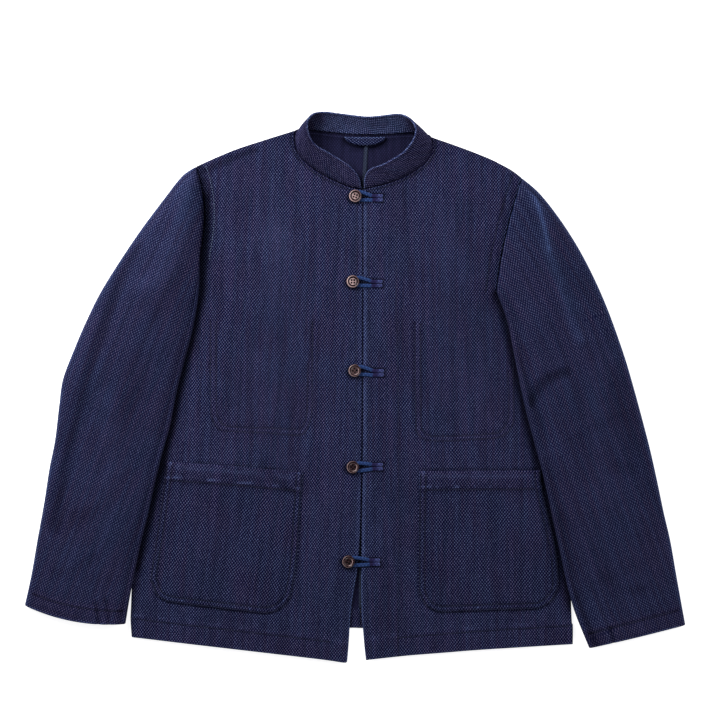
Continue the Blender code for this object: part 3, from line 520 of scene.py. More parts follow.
RIGHT_CENTRE_EDGE = [
    (10.3, 262.9), (10.4, 209.7), (10.1, 65.0), (9.2, -71.7), (7.6, -178.9), (4.8, -232.5),
    (0.2, -262.0), (-5.5, -298.2), (-8.0, -339.7), (-10.3, -367.6),
]
RIGHT_HEM = [(-10.3, -367.6), (-14.7, -369.1), (-46.8, -364.6), (-159.4, -351.5), (-298.9, -335.4)]
RIGHT_NECK = [
    (-81.0, 342.4), (-81.7, 327.6), (-78.3, 313.6), (-71.0, 303.9), (-58.2, 292.5), (-40.8, 281.1),
    (-22.7, 272.4), (-5.3, 265.6), (10.3, 262.9),
]
LEFT_CENTRE_EDGE = [
    (10.7, 262.9), (10.9, 174.9), (10.8, 65.0), (9.7, -111.9), (8.6, -192.3), (8.4, -247.2),
    (9.2, -298.2), (12.0, -339.7), (14.7, -365.6),
]
LEFT_HEM = [(14.7, -365.6), (65.7, -360.1), (114.0, -356.2), (178.3, -351.2), (291.5, -344.8)]
LEFT_NECK = [
    (103.2, 333.5), (104.6, 323.6), (102.6, 311.8), (94.3, 299.0), (81.1, 288.5), (61.7, 277.8),
    (42.0, 270.4), (22.8, 265.7), (10.7, 262.9),
]
FACINGS = {
    -1: [(-36.0, 272.6), (-36.0, 95.0), (-37.0, -120.0), (-38.5, -363.0)],
    1: [(55.5, 275.0), (55.3, 95.6), (58.3, -20.6), (58.2, -178.3), (57.5, -330.6), (58.9, -361.3)],
}
CHEST_ROWS = {
    -1: [
        [(-192.8, 86.3), (-192.8, -27.3), (-191.0, -42.0), (-185.6, -52.7), (-177.6, -58.7),
         (-145.5, -60.7), (-118.3, -62.0), (-77.4, -65.1), (-66.4, -60.7), (-59.6, -44.7),
         (-57.4, -24.6), (-56.7, 86.3)],
        [(-185.6, 86.3), (-184.9, -27.3), (-182.0, -42.0), (-175.5, -51.4), (-156.4, -54.4),
         (-113.5, -55.6), (-76.4, -57.4), (-70.2, -54.5), (-65.2, -42.7), (-63.4, -24.6), (-62.9, 30.0)],
    ],
    1: [
        [(80.2, 82.3), (81.3, -44.7), (82.9, -60.0), (89.6, -68.7), (98.8, -72.0), (121.9, -72.7),
         (153.7, -71.1), (188.7, -68.7), (201.8, -63.4), (209.8, -54.0), (212.5, -34.0), (211.2, 35.5)],
        [(87.4, 82.3), (88.3, -44.7), (91.3, -58.7), (99.2, -65.6), (121.9, -66.5), (153.7, -65.0),
         (187.1, -62.7), (197.0, -58.0), (203.0, -49.0), (205.5, -34.0), (205.0, 20.0)],
    ],
}
EDGE_STITCH, ARMHOLE_STITCH, NECK_STITCH = 8.0, 13.0, 3.2
ARMHOLE_ROW = 2  # its place among a front's rows
# Each button's middle and the far end of its loop
FASTENINGS = [
    ((0.6, 254.4), (37.6, 251.9)), ((-2.6, 140.3), (37.0, 137.4)), ((-0.2, 21.4), (38.8, 18.1)),
    ((-2.6, -107.4), (37.5, -107.2)), ((-8.5, -233.6), (33.8, -234.8)),
]
FRONT_CREASES = [
    ([(-206, 172), (-178, 124), (-166, 62)], -0.6, 15),
    ([(-124, -105), (-104, -128), (-84, -142)], -1.8, 7),
    ([(-199, 290), (-186, 296), (-170, 302.5), (-150, 310.5), (-130, 317)], -3.0, 7),
    ([(-110, 250), (-104, 190), (-116, 130)], 0.6, 30), ([(190, 122), (166, 90), (160, 20)], -0.6, 15),
    ([(66, 262), (63, 60), (65, -150), (64, -330)], -1.0, 8),
    ([(120, 230), (128, 150), (118, 70)], 0.5, 28),
]

FRONT_TILT = {-1: 3.0, 1: -0.5}  # degrees that each front's grain is turned
# Where the sleeves' inner folds lie on the fronts, in deep shade
SLEEVE_FOLDS = {
    -1: [
        (-203.5, 252.0), (-201.5, 215.0), (-203.0, 180.0), (-205.0, 150.0), (-205.0, 128.0),
        (-211.3, 102.2), (-228.7, 28.8), (-246.0, -49.9), (-269.4, -140.6), (-292.7, -242.0),
    ],
    1: [
        (191.0, 122.0), (199.5, 98.9), (210.9, 50.2), (223.5, -12.5), (240.2, -77.9), (257.6, -147.2),
        (274.2, -223.3), (291.6, -295.3),
    ],
}
# Where the pockets' mouths stand off the fronts and shade them
MOUTH_SHADE = [
    [(-215.0, -101.5), (-160.7, -105.5), (-68.9, -114.0)],
    [(86.0, -111.7), (167.6, -111.4), (249.3, -110.9)],
]

# The middle of a paler place on the right chest
CHEST_PALE_PLACE = np.array([(-106.8, 190.0), (-106.8, 200.0)])

fronts = {
    "front_right": (-1, {"neck": RIGHT_NECK, "centre": RIGHT_CENTRE_EDGE, "hem": RIGHT_HEM}),
    "front_left": (1, {"neck": LEFT_NECK, "centre": LEFT_CENTRE_EDGE, "hem": LEFT_HEM}),
}
front_rows, front_edges, facing_lines, chest_bags = {}, {}, {}, []
for name, (hand, own_edges) in fronts.items():
    # The hem is stitched from the facing outwards.
    hem_start = 10 if hand < 0 else 15
    edges = {word: smooth_edge(line) for word, line in {**BODY[hand], **own_edges}.items()}
    front_edges[name] = edges
    facing_lines[hand] = smooth_edge(FACINGS[hand])
    chest = [smooth_edge(row) for row in CHEST_ROWS[hand]]
    chest_bags.append(chest[0])
    front_rows[name] = [
        beside(edges["centre"], hand * EDGE_STITCH)[1:-3],
        beside(edges["hem"], hand * HEM_STITCH)[hem_start:-1],
        beside(edges["armhole"], hand * ARMHOLE_STITCH)[1:-1],
        beside(edges["neck"], hand * NECK_STITCH)[1:-2],
        *chest, *([facing_lines[1]] if hand > 0 else []),
    ]
ALL_FRONT_ROWS = [row for rows in front_rows.values() for row in rows]
FRONT_HEMS = [edges["hem"] for edges in front_edges.values()]
CENTRE_EDGES = [edges["centre"] for edges in front_edges.values()]


def plain_front(points):
    """The height of the fronts' faces before their small relief."""
    hem = HEM_FOLD * folded(distance(points, FRONT_HEMS), HEM_DEPTH)
    return CLOTH + LAYER_GAP + puff(points) + CLOTH + hem


def front_face(points):
    """The height of the fronts' faces: layers behind them, rows of stitching and soft unevenness."""
    calm = ease(distance(points, BODY_SHUT) / 50)
    relief = calm * (0.4 * uneven(points, 75, 11) + creased(points, FRONT_CREASES))
    relief += 0.13 * uneven(points, 18, 12)
    for bag in chest_bags:
        gap = distance(points, [closed(bag)])
        relief += 0.35 * ease(np.where(is_inside(points, bag), gap, 0) / 3)
    for hand, proud in ((-1, 0.5), (1, 0.8)):
        line = facing_lines[hand]
        outside = hand * (points[:, 0] - np.interp(-points[:, 1], -line[:, 1], line[:, 0]))
        relief += proud * (1 - ease(outside / 5)) * (hand * (points[:, 0] - 9) > 0) * calm
    return plain_front(points) + relief - stitched(points, ALL_FRONT_ROWS)


def front_under(points):
    """The height of the fronts' undersides."""
    return CLOTH + LAYER_GAP + puff(points)


def circle(radius, count, middle=(0.0, 0.0)):
    """Even plan points round a circle."""
    turn = np.linspace(0, 2 * math.pi, count, endpoint=False)
    return np.stack([np.cos(turn), np.sin(turn)], axis=1) * radius + middle


def button_and_loop_shadow(points):
    """How deep in the painted shadow of each button and its loop the cloth lies: close under and round
    them, a little to the lower left.
    """
    level_shift = np.zeros(len(points))
    for centre, end in FASTENINGS:
        from_button = np.linalg.norm(points - centre + [0.9, 1.1], axis=1)
        loop_y = np.interp(points[:, 0], [centre[0], end[0]], [centre[1], end[1]])
        beside_loop = abs(points[:, 1] - loop_y)
        along_loop = (points[:, 0] > centre[0]) & (points[:, 0] < end[0] + 1.2)
        shade = np.maximum(ease((10.8 - from_button) / 2.0), ease((7.6 - beside_loop) / 1.8) * along_loop)
        level_shift = np.maximum(level_shift, shade)
    return level_shift


def sleeve_shade(points):
    """How deep in a sleeve's shade plan points on the body lie."""
    return ease(1.25 - distance(points, [smooth_edge(line) for line in SLEEVE_FOLDS.values()]) / 9)


def sew(name, rows, height, finish, pitch=3.2, stitch=2.5, girth=0.55):
    """Rows of stitches: short threads that rise from the cloth and sink into it again."""
    sides, at, swell = 6, np.array([-0.5, -0.3, 0.3, 0.5]), np.array([0.3, 1.0, 1.0, 0.3])
    middles, ways = [], []
    for row in rows:
        along = lengths(row)
        places = np.arange(pitch / 2, along[-1], pitch)
        fore, aft = [
            np.stack([np.interp(places + shift, along, row[:, k]) for k in (0, 1)], axis=1)
            for shift in (0.6, -0.6)
        ]
        middles.append((fore + aft) / 2)
        ways.append((fore - aft) / (np.linalg.norm(fore - aft, axis=1, keepdims=True) + 1e-9))
    middle, way = np.concatenate(middles), np.concatenate(ways)
    aside = np.stack([-way[:, 1], way[:, 0]], axis=1)
    count = len(middle)
    line = middle[:, None] + way[:, None] * at[None, :, None] * stitch
    ground = height(line.reshape(-1, 2)).reshape(count, 4)
    angle = np.linspace(0, 2 * math.pi, sides, endpoint=False)
    across = np.cos(angle) * girth / 2
    rise = np.sin(angle) * girth / 2
    plan = line[:, :, None] + aside[:, None, None] * (across[None, :] * swell[:, None])[None, ..., None]
    z = ground[..., None] + (np.array([-0.2, 0.2, 0.2, -0.2])[:, None] + rise[None] * swell[:, None])[None]
    points = np.concatenate([plan, z[..., None]], axis=3).reshape(-1, 3)
    ring, k = np.meshgrid(np.arange(3), np.arange(sides), indexing="ij")
    after = (k + 1) % sides
    near, far = ring * sides, (ring + 1) * sides
    quad = np.stack([near + k, near + after, far + after, far + k], axis=-1)
    faces = (quad.reshape(-1, 4)[None] + (np.arange(count) * 4 * sides)[:, None, None]).reshape(-1, 4)
    far_along = (np.arange(count) * pitch)[:, None, None] + (at * stitch)[None, :, None]
    grain = np.stack(np.broadcast_arrays(angle[None, None] * girth / 2, far_along), axis=-1)
    piece = make_piece(name, points, faces.tolist(), grain.reshape(-1, 2), [finish])
    dress(piece, "sashiko_cloth")


def three_ply(name, dark, light):
    """Cotton thread: a slanting twist, its plies' shade and highlight painted as a fine dark and light line
    on each stitch.
    """
    made, tree, shader = new_material(name)
    grain = add(tree, "UVMap", {"uv_map": "grain"}, {}, "UV")
    slant = {"Vector": grain, "Rotation": (0, 0, math.radians(35)), "Scale": (1 / 0.45, 1 / 0.45, 1)}
    slant = add(tree, "Mapping", {}, slant)
    twist = add(tree, "TexWave", {}, {"Vector": slant, "Scale": 1 / 3.1, "Distortion": 0.4}, "Fac")
    dye = add(tree, "TexNoise", {}, {"Vector": grain, "Scale": 0.05, "Detail": 2.0})
    shade = add(tree, "Math", {"operation": "MULTIPLY_ADD"}, {0: twist, 1: 0.35, 2: dye})
    colour = add(tree, "Mix", {"data_type": "RGBA"}, {0: shade, 6: linear(dark), 7: linear(light)}, 2)
    connect(tree, shader, {"Base Color": colour, "Roughness": 0.7})
    return made


thread = three_ply("cotton thread, dyed with the jacket", "#0E1129", "#262E58")
worn_thread = three_ply("cotton thread, rubbed pale", "#3A4675", "#8C9CC6")

for name, edges in front_edges.items():
    hand = fronts[name][0]
    outline = joined(*edges.values())
    # The mesh is finer round the shade that each button and its loop cast.
    shades = [circle(8.8, 18, centre) for centre, _ in FASTENINGS]
    for centre, end in FASTENINGS:
        shades += [beside(np.linspace(centre, end, 14), side) for side in (-6.2, 6.2)]
    plan, faces = fill(outline, seams=[*front_rows[name], *shades])
    rim, seam_gap = distance(plan, [closed(outline)]), distance(plan, BODY_SHUT)
    face, under = front_face(plan), front_under(plan)
    # A seamed edge rolls down to the back, furthest at the right armhole; a folded one is rounded
    # about its middle.
    sunk = np.where(plan[:, 1] < 250, 0.15, 0.7) if hand < 0 else 0.9
    rolled = under + (face - under) * rounded(seam_gap, radius=2.4, least=sunk)
    middle, half = (face + under) / 2, (face - under) / 2 * rounded(rim)
    at_seam = seam_gap < 2.5
    top = np.where(at_seam, np.minimum(rolled, middle + half), middle + half)
    from_centre, from_hem = distance(plan, CENTRE_EDGES), distance(plan, FRONT_HEMS)
    row_gap = distance(plan, front_rows[name][1:6])
    # The rows along the centre edge and the facing hardly sink, save where the facing meets the hem.
    facing_gap = distance(plan, front_rows[name][:1] + front_rows[name][6:])
    facing_depth = 0.3 + 0.5 * (plan[:, 1] < -325) * (plan[:, 0] > 40)
    # The two fronts shade each other where they meet; in the slit under the last loop each is rubbed.
    slit = ease((-240 - plan[:, 1]) / 12)
    meeting = (0.45 if hand > 0 else 0.12) * near(from_centre, 1.5, at=2)
    meeting -= (0.6 - 0.002 * plan[:, 1]) * near(from_centre, 0.9)
    fade = meeting * (1 - slit) + 0.8 * near(from_centre, 1.8) * slit
    fade += 0.5 * near(from_hem, 2.4) + 0.15 * near(from_hem, 1.8, at=HEM_STITCH + 3.6)
    # Crease troughs and the rows of stitching are darkened, partly kept dye and partly painted shade; the
    # sleeves' folds and the pockets' mouths lay painted shade on the fronts.
    fade += crease_shade_and_wear(creased(plan, FRONT_CREASES)) - near(row_gap, 2) - sleeve_shade(plan)
    fade -= facing_depth * near(facing_gap, 1.6)
    fade -= 0.5 * near(distance(plan, [np.array(line) for line in MOUTH_SHADE]), 3)
    # The two rows round an inner pocket stand either side of a rubbed ridge.
    between_rows = distance(plan, front_rows[name][4:5]) + distance(plan, front_rows[name][5:6])
    ridge = ease((9.2 - between_rows) / 1.6)
    fade += 0.2 * ridge
    fade += 0.12 * near(distance(plan, [CHEST_PALE_PLACE]), 34)
    # The strip between the right armhole and its row of stitching lies in the sleeve's shade.
    from_armhole = distance(plan, [edges["armhole"]])
    fade -= 0.65 * ease(1 - (from_armhole - 7) / 4) * ease((plan[:, 1] - 170) / 20) * (hand < 0)
    # Beside the left armhole the front is painted lighter, a painted highlight that lifts the shade at the
    # seam's step.
    fade += 0.5 * near(from_armhole, 2) * (hand > 0) * (plan[:, 1] > 130)
    # Round each button and its loop the cloth is painted dark as their shadow.
    fade = np.maximum(fade, -1) * (1 - button_and_loop_shadow(plan)) - 0.9 * button_and_loop_shadow(plan)
    lean = uneven(plan, 46, 21) + 0.9 * near(from_centre, 40) + 0.5 * ease(-(plan[:, 1] + 60) / 200)
    lean -= 0.8 * folded(from_hem, HEM_DEPTH + 4) + 1.5 * ridge
    piece = make_layer(
        name + "_cloth", plan, faces, top, np.where(at_seam, under, middle - half),
        askew(plan, FRONT_TILT[hand]), [sashiko_cotton, wrong_side], face_finish=(0, 1), fade=fade,
        tone=lean,
    )
    dress(piece, "sashiko_cloth", name)
    armhole_row = front_rows[name].pop(ARMHOLE_ROW)
    sew(name + "_stitches", front_rows[name], front_face, thread)
    sew(name + "_armhole_stitches", [armhole_row], front_face, worn_thread if hand < 0 else thread)

# The patch pockets. Squares of the same cloth with rounded lower corners, each with a turned band
# at the mouth, sewn on by two rows of stitching round three sides.

POCKET_GAP, POCKET_BAND, POCKET_FOLD = 0.6, 27.0, 1.2
POCKET_ROWS = (2.2, 8.6)  # how far in from the edge the two rows run
POCKETS = {
    "pocket_right": {
        "mouth": [(-251.9, -99.8), (-160.7, -106.5), (-68.9, -115.0)],
        "inner": [
            (-68.9, -115.0), (-71.2, -145.1), (-76.3, -225.5), (-81.5, -264.8), (-86.4, -282.1),
            (-95.2, -293.9), (-107.1, -301.5), (-120.8, -304.2),
        ],
        "bottom": [(-120.8, -304.2), (-180.6, -297.3), (-231.9, -291.3), (-252.4, -288.0)],
        "outer": [
            (-252.4, -288.0), (-265.3, -279.4), (-271.1, -264.8), (-273.8, -251.1), (-262.6, -177.6),
            (-251.9, -99.8),
        ],
    },
    "pocket_left": {
        "mouth": [(86.0, -112.7), (167.6, -112.4), (249.3, -111.9)],
        "outer": [
            (249.3, -111.9), (252.0, -138.3), (269.8, -216.9), (273.2, -262.0), (269.4, -278.1),
            (261.0, -289.5), (245.0, -298.2),
        ],
        "bottom": [(245.0, -298.2), (180.0, -299.9), (113.3, -302.4)],
        "inner": [
            (113.3, -302.4), (100.6, -297.5), (91.2, -288.8), (85.2, -275.1), (84.4, -262.3),
            (84.6, -191.4), (86.0, -112.7),
        ],
    },
}
pocket_edges = {
    name: {word: smooth_edge(line) for word, line in pocket.items()} for name, pocket in POCKETS.items()
}
POCKET_OUTLINES = {name: joined(*edges.values()) for name, edges in pocket_edges.items()}
MOUTHS = [edges["mouth"] for edges in pocket_edges.values()]
pocket_rows = {}
for name, edges in pocket_edges.items():
    sewn = np.concatenate([edge[:-1] for word, edge in edges.items() if word != "mouth"])
    band_row = beside(edges["mouth"], -(POCKET_BAND - 2))
    pocket_rows[name] = [beside(sewn, -inset)[1:-1] for inset in POCKET_ROWS] + [band_row[3:-3]]
ALL_POCKET_ROWS = [row for rows in pocket_rows.values() for row in rows]


def plain_pocket(points):
    """The height of the pockets' faces before their small relief."""
    band = POCKET_FOLD * folded(distance(points, MOUTHS), POCKET_BAND)
    return plain_front(points) + POCKET_GAP + CLOTH + band


def pocket_face(points):
    """The height of the pockets' faces, with their stitching and soft unevenness."""
    relief = 0.35 * uneven(points, 48, 31) + 0.14 * uneven(points, 15, 32) + creased(points, FRONT_CREASES)
    return plain_pocket(points) + relief - stitched(points, ALL_POCKET_ROWS)


# Degrees that each pocket's grain is turned, and how much coarser its weave is than the body's
PATCH_TILT, PATCH_COARSER = {"pocket_right": 7.0, "pocket_left": 0.8}, 1.05
# Where the cloth is rubbed: the ridge between the two rows, and the one above the band's row
ROWS_RIDGE, BAND_RIDGE = 5.4, POCKET_BAND - 5.8
for name, edges in pocket_edges.items():
    outline = POCKET_OUTLINES[name]
    plan, faces = fill(outline, step=4.2, seams=pocket_rows[name])
    rim, from_mouth = distance(plan, [closed(outline)]), distance(plan, [edges["mouth"]])
    under = front_face(plan) + 0.12
    top = under + (pocket_face(plan) - under) * rounded(rim, radius=2.2, least=0.2)
    grain = askew(plan, PATCH_TILT[name], PATCH_COARSER)
    row_gap = distance(plan, pocket_rows[name])
    sewn_gap = distance(plan, [edge for word, edge in edges.items() if word != "mouth"])
    # The rim and the ridge between the rows are rubbed pale, the rim also painted lighter against the shade
    # at its lower edge; the rows are darkened, partly kept dye and partly painted shade.
    fade = 0.65 * near(sewn_gap, 2.6, at=ROWS_RIDGE) + 0.2 * near(rim, 1.6) - 1.1 * near(row_gap, 2)
    # Below the mouth the puffed band gets a painted highlight, and the mouth's edge a line of painted
    # shade.
    fade += 0.25 * near(from_mouth, 7, at=7) - 0.3 * near(from_mouth, 1.5)
    fade += 0.6 * near(from_mouth, 1.8, at=BAND_RIDGE)
    fade += crease_shade_and_wear(creased(plan, FRONT_CREASES)) - 0.1 - 0.4 * sleeve_shade(plan)
    for corner in (edges["mouth"][0], edges["mouth"][-1]):
        fade += 0.15 * near(np.linalg.norm(plan - corner, axis=1), 7)
    lean = uneven(plan, 40, 23) + 0.4 - 1.2 * folded(from_mouth, POCKET_BAND)
    piece = make_layer(
        name + "_cloth", plan, faces, top, under, grain, [sashiko_cotton, wrong_side],
        face_finish=(0, 1), fade=fade, tone=lean,
    )
    dress(piece, "sashiko_cloth", name)
    sew(name + "_stitches", pocket_rows[name], pocket_face, thread)

# The sleeves. Each is a tube of the same cloth, sewn into the armhole and laid slanting over the
# body's side, folded flat along both edges. The cuff is turned in and stitched. Wear has paled the
# crease over the shoulder; the outer folds are paled partly by wear and partly by a painted highlight
# where they face the light.

CUFF_FOLD, CUFF_PROUD = 22.0, 0.8
# A section: the fold away from the body, the fold over it, how far it bows towards the cuff, its
# height and where across it the top lies (0 outside, 1 inside)
SLEEVES = {
    "sleeve_right": [
        (-213.1, 293.7, -209.3, 171.6, -9.0, 21.0, 0.20),
        (-231.1, 280.8, -207.6, 150.2, -4.0, 24.0, 0.22),
        (-256.5, 248.7, -208.4, 128.9, 0.0, 26.0, 0.30),
        (-285.9, 209.3, -211.3, 102.2, 0.0, 26.0, 0.38),
        (-315.3, 165.8, -218.0, 68.9, 0.0, 26.0, 0.43),
        (-340.7, 124.4, -228.7, 28.8, 0.0, 25.0, 0.46),
        (-360.1, 85.0, -238.7, -11.2, 0.0, 24.0, 0.46),
        (-376.1, 47.5, -246.0, -49.9, 0.0, 24.0, 0.45),
        (-390.2, 10.1, -253.4, -76.5, 0.0, 24.0, 0.44),
        (-395.3, -24.6, -260.0, -101.9, 0.0, 24.0, 0.44),
        (-400.9, -71.4, -269.4, -140.6, 0.0, 23.0, 0.45),
        (-408.3, -108.8, -276.7, -173.9, 0.0, 22.0, 0.46),
        (-415.6, -155.6, -285.4, -208.6, 0.0, 20.0, 0.47),
        (-424.3, -203.7, -292.7, -242.0, 3.0, 18.0, 0.48),
        (-432.9, -253.2, -300.5, -281.2, 6.0, 16.0, 0.50),
        (-441.4, -291.7, -306.1, -316.0, 9.0, 15.0, 0.50),
    ],
    "sleeve_left": [
        (223.9, 278.4, 189.5, 126.2, -4.0, 21.0, 0.16),
        (247.3, 257.4, 193.5, 114.9, 0.0, 24.0, 0.20),
        (274.1, 223.3, 199.5, 98.9, 0.0, 26.0, 0.28),
        (298.1, 185.9, 205.5, 78.2, 0.0, 26.0, 0.35),
        (318.2, 147.8, 210.9, 50.2, 0.0, 26.0, 0.40),
        (335.5, 109.0, 216.9, 19.5, 0.0, 25.0, 0.43),
        (349.6, 71.6, 223.5, -12.5, 0.0, 24.0, 0.45),
        (362.3, 34.2, 231.5, -45.9, 0.0, 24.0, 0.46),
        (373.6, -4.6, 240.2, -77.9, 0.0, 24.0, 0.47),
        (385.0, -46.7, 248.9, -110.6, 0.0, 24.0, 0.47),
        (395.0, -85.4, 257.6, -147.2, 0.0, 23.0, 0.47),
        (404.4, -127.5, 265.6, -184.6, 0.0, 22.0, 0.48),
        (413.1, -169.0, 274.2, -223.3, 0.0, 20.0, 0.48),
        (421.8, -206.4, 282.2, -260.6, 0.0, 18.0, 0.48),
        (429.1, -247.8, 291.6, -295.3, 0.0, 16.0, 0.50),
        (435.8, -285.3, 301.6, -322.0, 0.0, 15.0, 0.50),
        (441.8, -318.0, 313.2, -349.3, 0.0, 14.0, 0.50),
    ],
}
SLEEVE_CREASES = [
    ([(-291.1, 188.5), (-321.6, 117.8), (-350.5, 27.3), (-364.9, -23.3), (-385.0, -104.4),
      (-400.9, -188.3)], -2.6, 15),
    ([(-222.7, 278.2), (-226.0, 261.0), (-233.9, 202.0), (-253.6, 151.5), (-277.3, 133.8)], 2.4, 24),
    ([(231.0, 272.0), (245.6, 233.0), (252.3, 209.7), (259.7, 176.0), (272.0, 140.0), (300.0, 60.0)],
     2.6, 12),
    ([(280.6, 17.0), (254.0, 6.4), (233.0, -23.9)], -2.8, 12),
    ([(-262, 96), (-290, 40), (-302, -30)], -0.9, 22), ([(-330, -20), (-322, -110), (-338, -190)], 0.9, 26),
    ([(-300, -120), (-330, -160), (-372, -176)], -0.7, 16), ([(330, 40), (322, -60), (340, -150)], 0.9, 26),
    ([(300, -70), (330, -104), (368, -112)], -0.7, 15), ([(352, 20), (372, -60), (392, -150)], -0.9, 18),
    ([(-345, -230), (-372, -246), (-400, -250)], -0.6, 10),
    ([(330, -250), (356, -270), (384, -274)], -0.6, 10),
    ([(-346, -290), (-343, -306), (-342, -320)], -2.5, 4),
    ([(-332, -286), (-329, -304), (-328, -323)], -2.2, 4),
    ([(341, -322), (343, -332), (344.5, -342)], -2.2, 4),
]
# Where the shoulder crease has faded: a line, how worn it is and how wide
FADED = [
    ([(228.5, 274.5), (236.0, 260.0), (245.6, 233.0), (252.3, 209.7), (257.7, 182.0)], 0.4, 4.5),
    ([(243, 206), (268, 158), (292, 108)], 0.03, 18),
]
# The way that the warp runs down each sleeve, and how much coarser its weave is than the body's
SLEEVE_GRAIN = {
    "sleeve_right": [(-214, 272), (-300, 80), (-376, -112), (-450, -304)],
    "sleeve_left": [(181, 247), (264, 97), (289, 37), (329, -93), (396, -273), (423, -333)],
}
SLEEVE_COARSER = 1.06
REST_MARGIN, REST_RAMP, REST_GAP = 14.0, 16.0, 1.0
sleeve_cotton = cotton(
    "sashiko cotton, more deeply dyed", ground="#101231", blue="#464E6E", purple="#4E4864",
    worn="#5A74AC", float_height=0.4,
)


def shelf(side, underarm):
    """The outline of the body's side, where a sleeve lies over it."""
    edge = np.concatenate([smooth_edge(side, step=12.0), smooth_edge(underarm, step=12.0)[1:]])
    return np.concatenate([edge, [(0.0, edge[-1, 1]), (0.0, edge[0, 1])]])


SHELVES = [shelf(edges["side"], edges["underarm"]) for edges in BODY.values()]


def nearby(points, outline):
    """1 inside an outline and just round it, falling softly to 0 further out."""
    reach = np.where(is_inside(points, outline), 0, distance(points, [closed(outline)]))
    return 1 - ease((reach - REST_MARGIN) / REST_RAMP)


def rest_height(points):
    """The height of what lies under a sleeve: the floor, the body's side or a pocket on it."""
    over_body = np.maximum(*(nearby(points, outline) for outline in SHELVES))
    height = (plain_front(points) + REST_GAP) * over_body
    for outline in POCKET_OUTLINES.values():
        height += (POCKET_GAP + CLOTH + POCKET_FOLD) * nearby(points, outline) * over_body
    return height


def section_line(section, across):
    """Plan points across one sleeve section, from 0 at the outer fold to 1 at the inner."""
    outer, inner, bow = section[:2], section[2:4], section[4]
    chord = inner - outer
    towards_cuff = np.array([chord[1], -chord[0]]) / np.linalg.norm(chord)
    if towards_cuff[1] > 0 or abs(towards_cuff[1]) < 0.3 and towards_cuff[0] * outer[0] < 0:
        towards_cuff = -towards_cuff
    share = np.asarray(across)[:, None]
    return outer + chord * share + towards_cuff * bow * 4 * share * (1 - share)


TOP_POINTS, UNDER_POINTS, FOLD_POINTS = 56, 24, 11
MIDDLE = FOLD_POINTS + TOP_POINTS // 2
TOP_SHARE = np.linspace(0, 1, TOP_POINTS + 2)[1:-1]
# The radius of both folds at the armhole, and that of each further down
SEAM_FOLD, OUTER_FOLD, INNER_FOLD = 2.7, 8.2, 5.6


def sleeve_section(section, to_cuff, swell):
    """One ring round a sleeve, as distances across the section and heights."""
    height, ridge = section[5:]
    width = np.linalg.norm(section[2:4] - section[:2])
    outer_fold = SEAM_FOLD + (OUTER_FOLD - 3.2 * to_cuff - SEAM_FOLD) * swell
    inner_fold = SEAM_FOLD + (INNER_FOLD - 1.6 * to_cuff - SEAM_FOLD) * swell
    flat_width = width - outer_fold - inner_fold
    under = width - inner_fold - flat_width * np.linspace(0, 1, UNDER_POINTS + 2)[1:-1]
    rest = rest_height(section_line(section, np.append(under, width - inner_fold) / width))
    rest = np.maximum(rest, 0.7 * (1 - ease(swell / 0.6)))
    edge_top, inner_top = 2 * outer_fold, rest[-1] + 2 * inner_fold
    crown = max(height - max(edge_top, inner_top), 0.8) * swell
    bump = np.sin(math.pi * TOP_SHARE ** (math.log(0.5) / math.log(ridge))) ** 0.8
    top = edge_top + (inner_top - edge_top) * TOP_SHARE + crown * bump
    turn = np.linspace(-math.pi / 2, -3 * math.pi / 2, FOLD_POINTS)
    back = turn[::-1]
    parts = [
        (outer_fold + outer_fold * np.cos(turn), outer_fold + outer_fold * np.sin(turn)),
        (outer_fold + flat_width * TOP_SHARE, top),
        (width - inner_fold - inner_fold * np.cos(back), rest[-1] + inner_fold + inner_fold * np.sin(back)),
        (under, rest[:-1]),
    ]
    return np.concatenate([np.stack(part, axis=1) for part in parts])


def ribbon(points, line):
    """How far to the left of a line plan points lie, and how far back along it."""
    start, way, along = line[:-1], np.diff(line, axis=0), lengths(line)[:-1]
    long = np.linalg.norm(way, axis=1)
    offset = points[:, None] - start[None]
    share = (offset * way).sum(axis=2) / long**2
    least, most = np.zeros(len(way)), np.ones(len(way))
    least[0], most[-1] = -9, 9
    held = np.clip(share, least, most)
    gap = np.linalg.norm(offset - held[..., None] * way, axis=2)
    best = gap.argmin(axis=1)
    row = np.arange(len(points))
    side = way[best, 0] * offset[row, best, 1] - way[best, 1] * offset[row, best, 0]
    back = -(along[best] + held[row, best] * long[best])
    return np.stack([np.sign(side) * gap[row, best], back], axis=1)


def loft(name, rings, grain, finishes, strip_finish=None, joined_up=False, fade=None, tone=None):
    """A closed skin over rings of points, with its two ends capped or joined to each other."""
    count, around = rings.shape[:2]
    i, k = np.meshgrid(np.arange(count if joined_up else count - 1), np.arange(around), indexing="ij")
    far, after = (i + 1) % count, (k + 1) % around
    faces = np.stack([i * around + k, i * around + after, far * around + after, far * around + k], axis=-1)
    corners = np.stack([grain[i, k], grain[i, k + 1], grain[far, k + 1], grain[far, k]], axis=2)
    finish = np.repeat(np.zeros(len(i)) if strip_finish is None else strip_finish, around)
    faces, corners = faces.reshape(-1, 4).tolist(), corners.reshape(-1, 2)
    if not joined_up:
        last = (count - 1) * around
        faces += [list(range(around)), list(range(last, last + around))]
        corners = np.concatenate([corners, grain[0, :-1], grain[-1, :-1]])
        finish = np.append(finish, [0, 0])
    return make_piece(name, rings.reshape(-1, 3), faces, corners, finishes, finish, fade, tone)


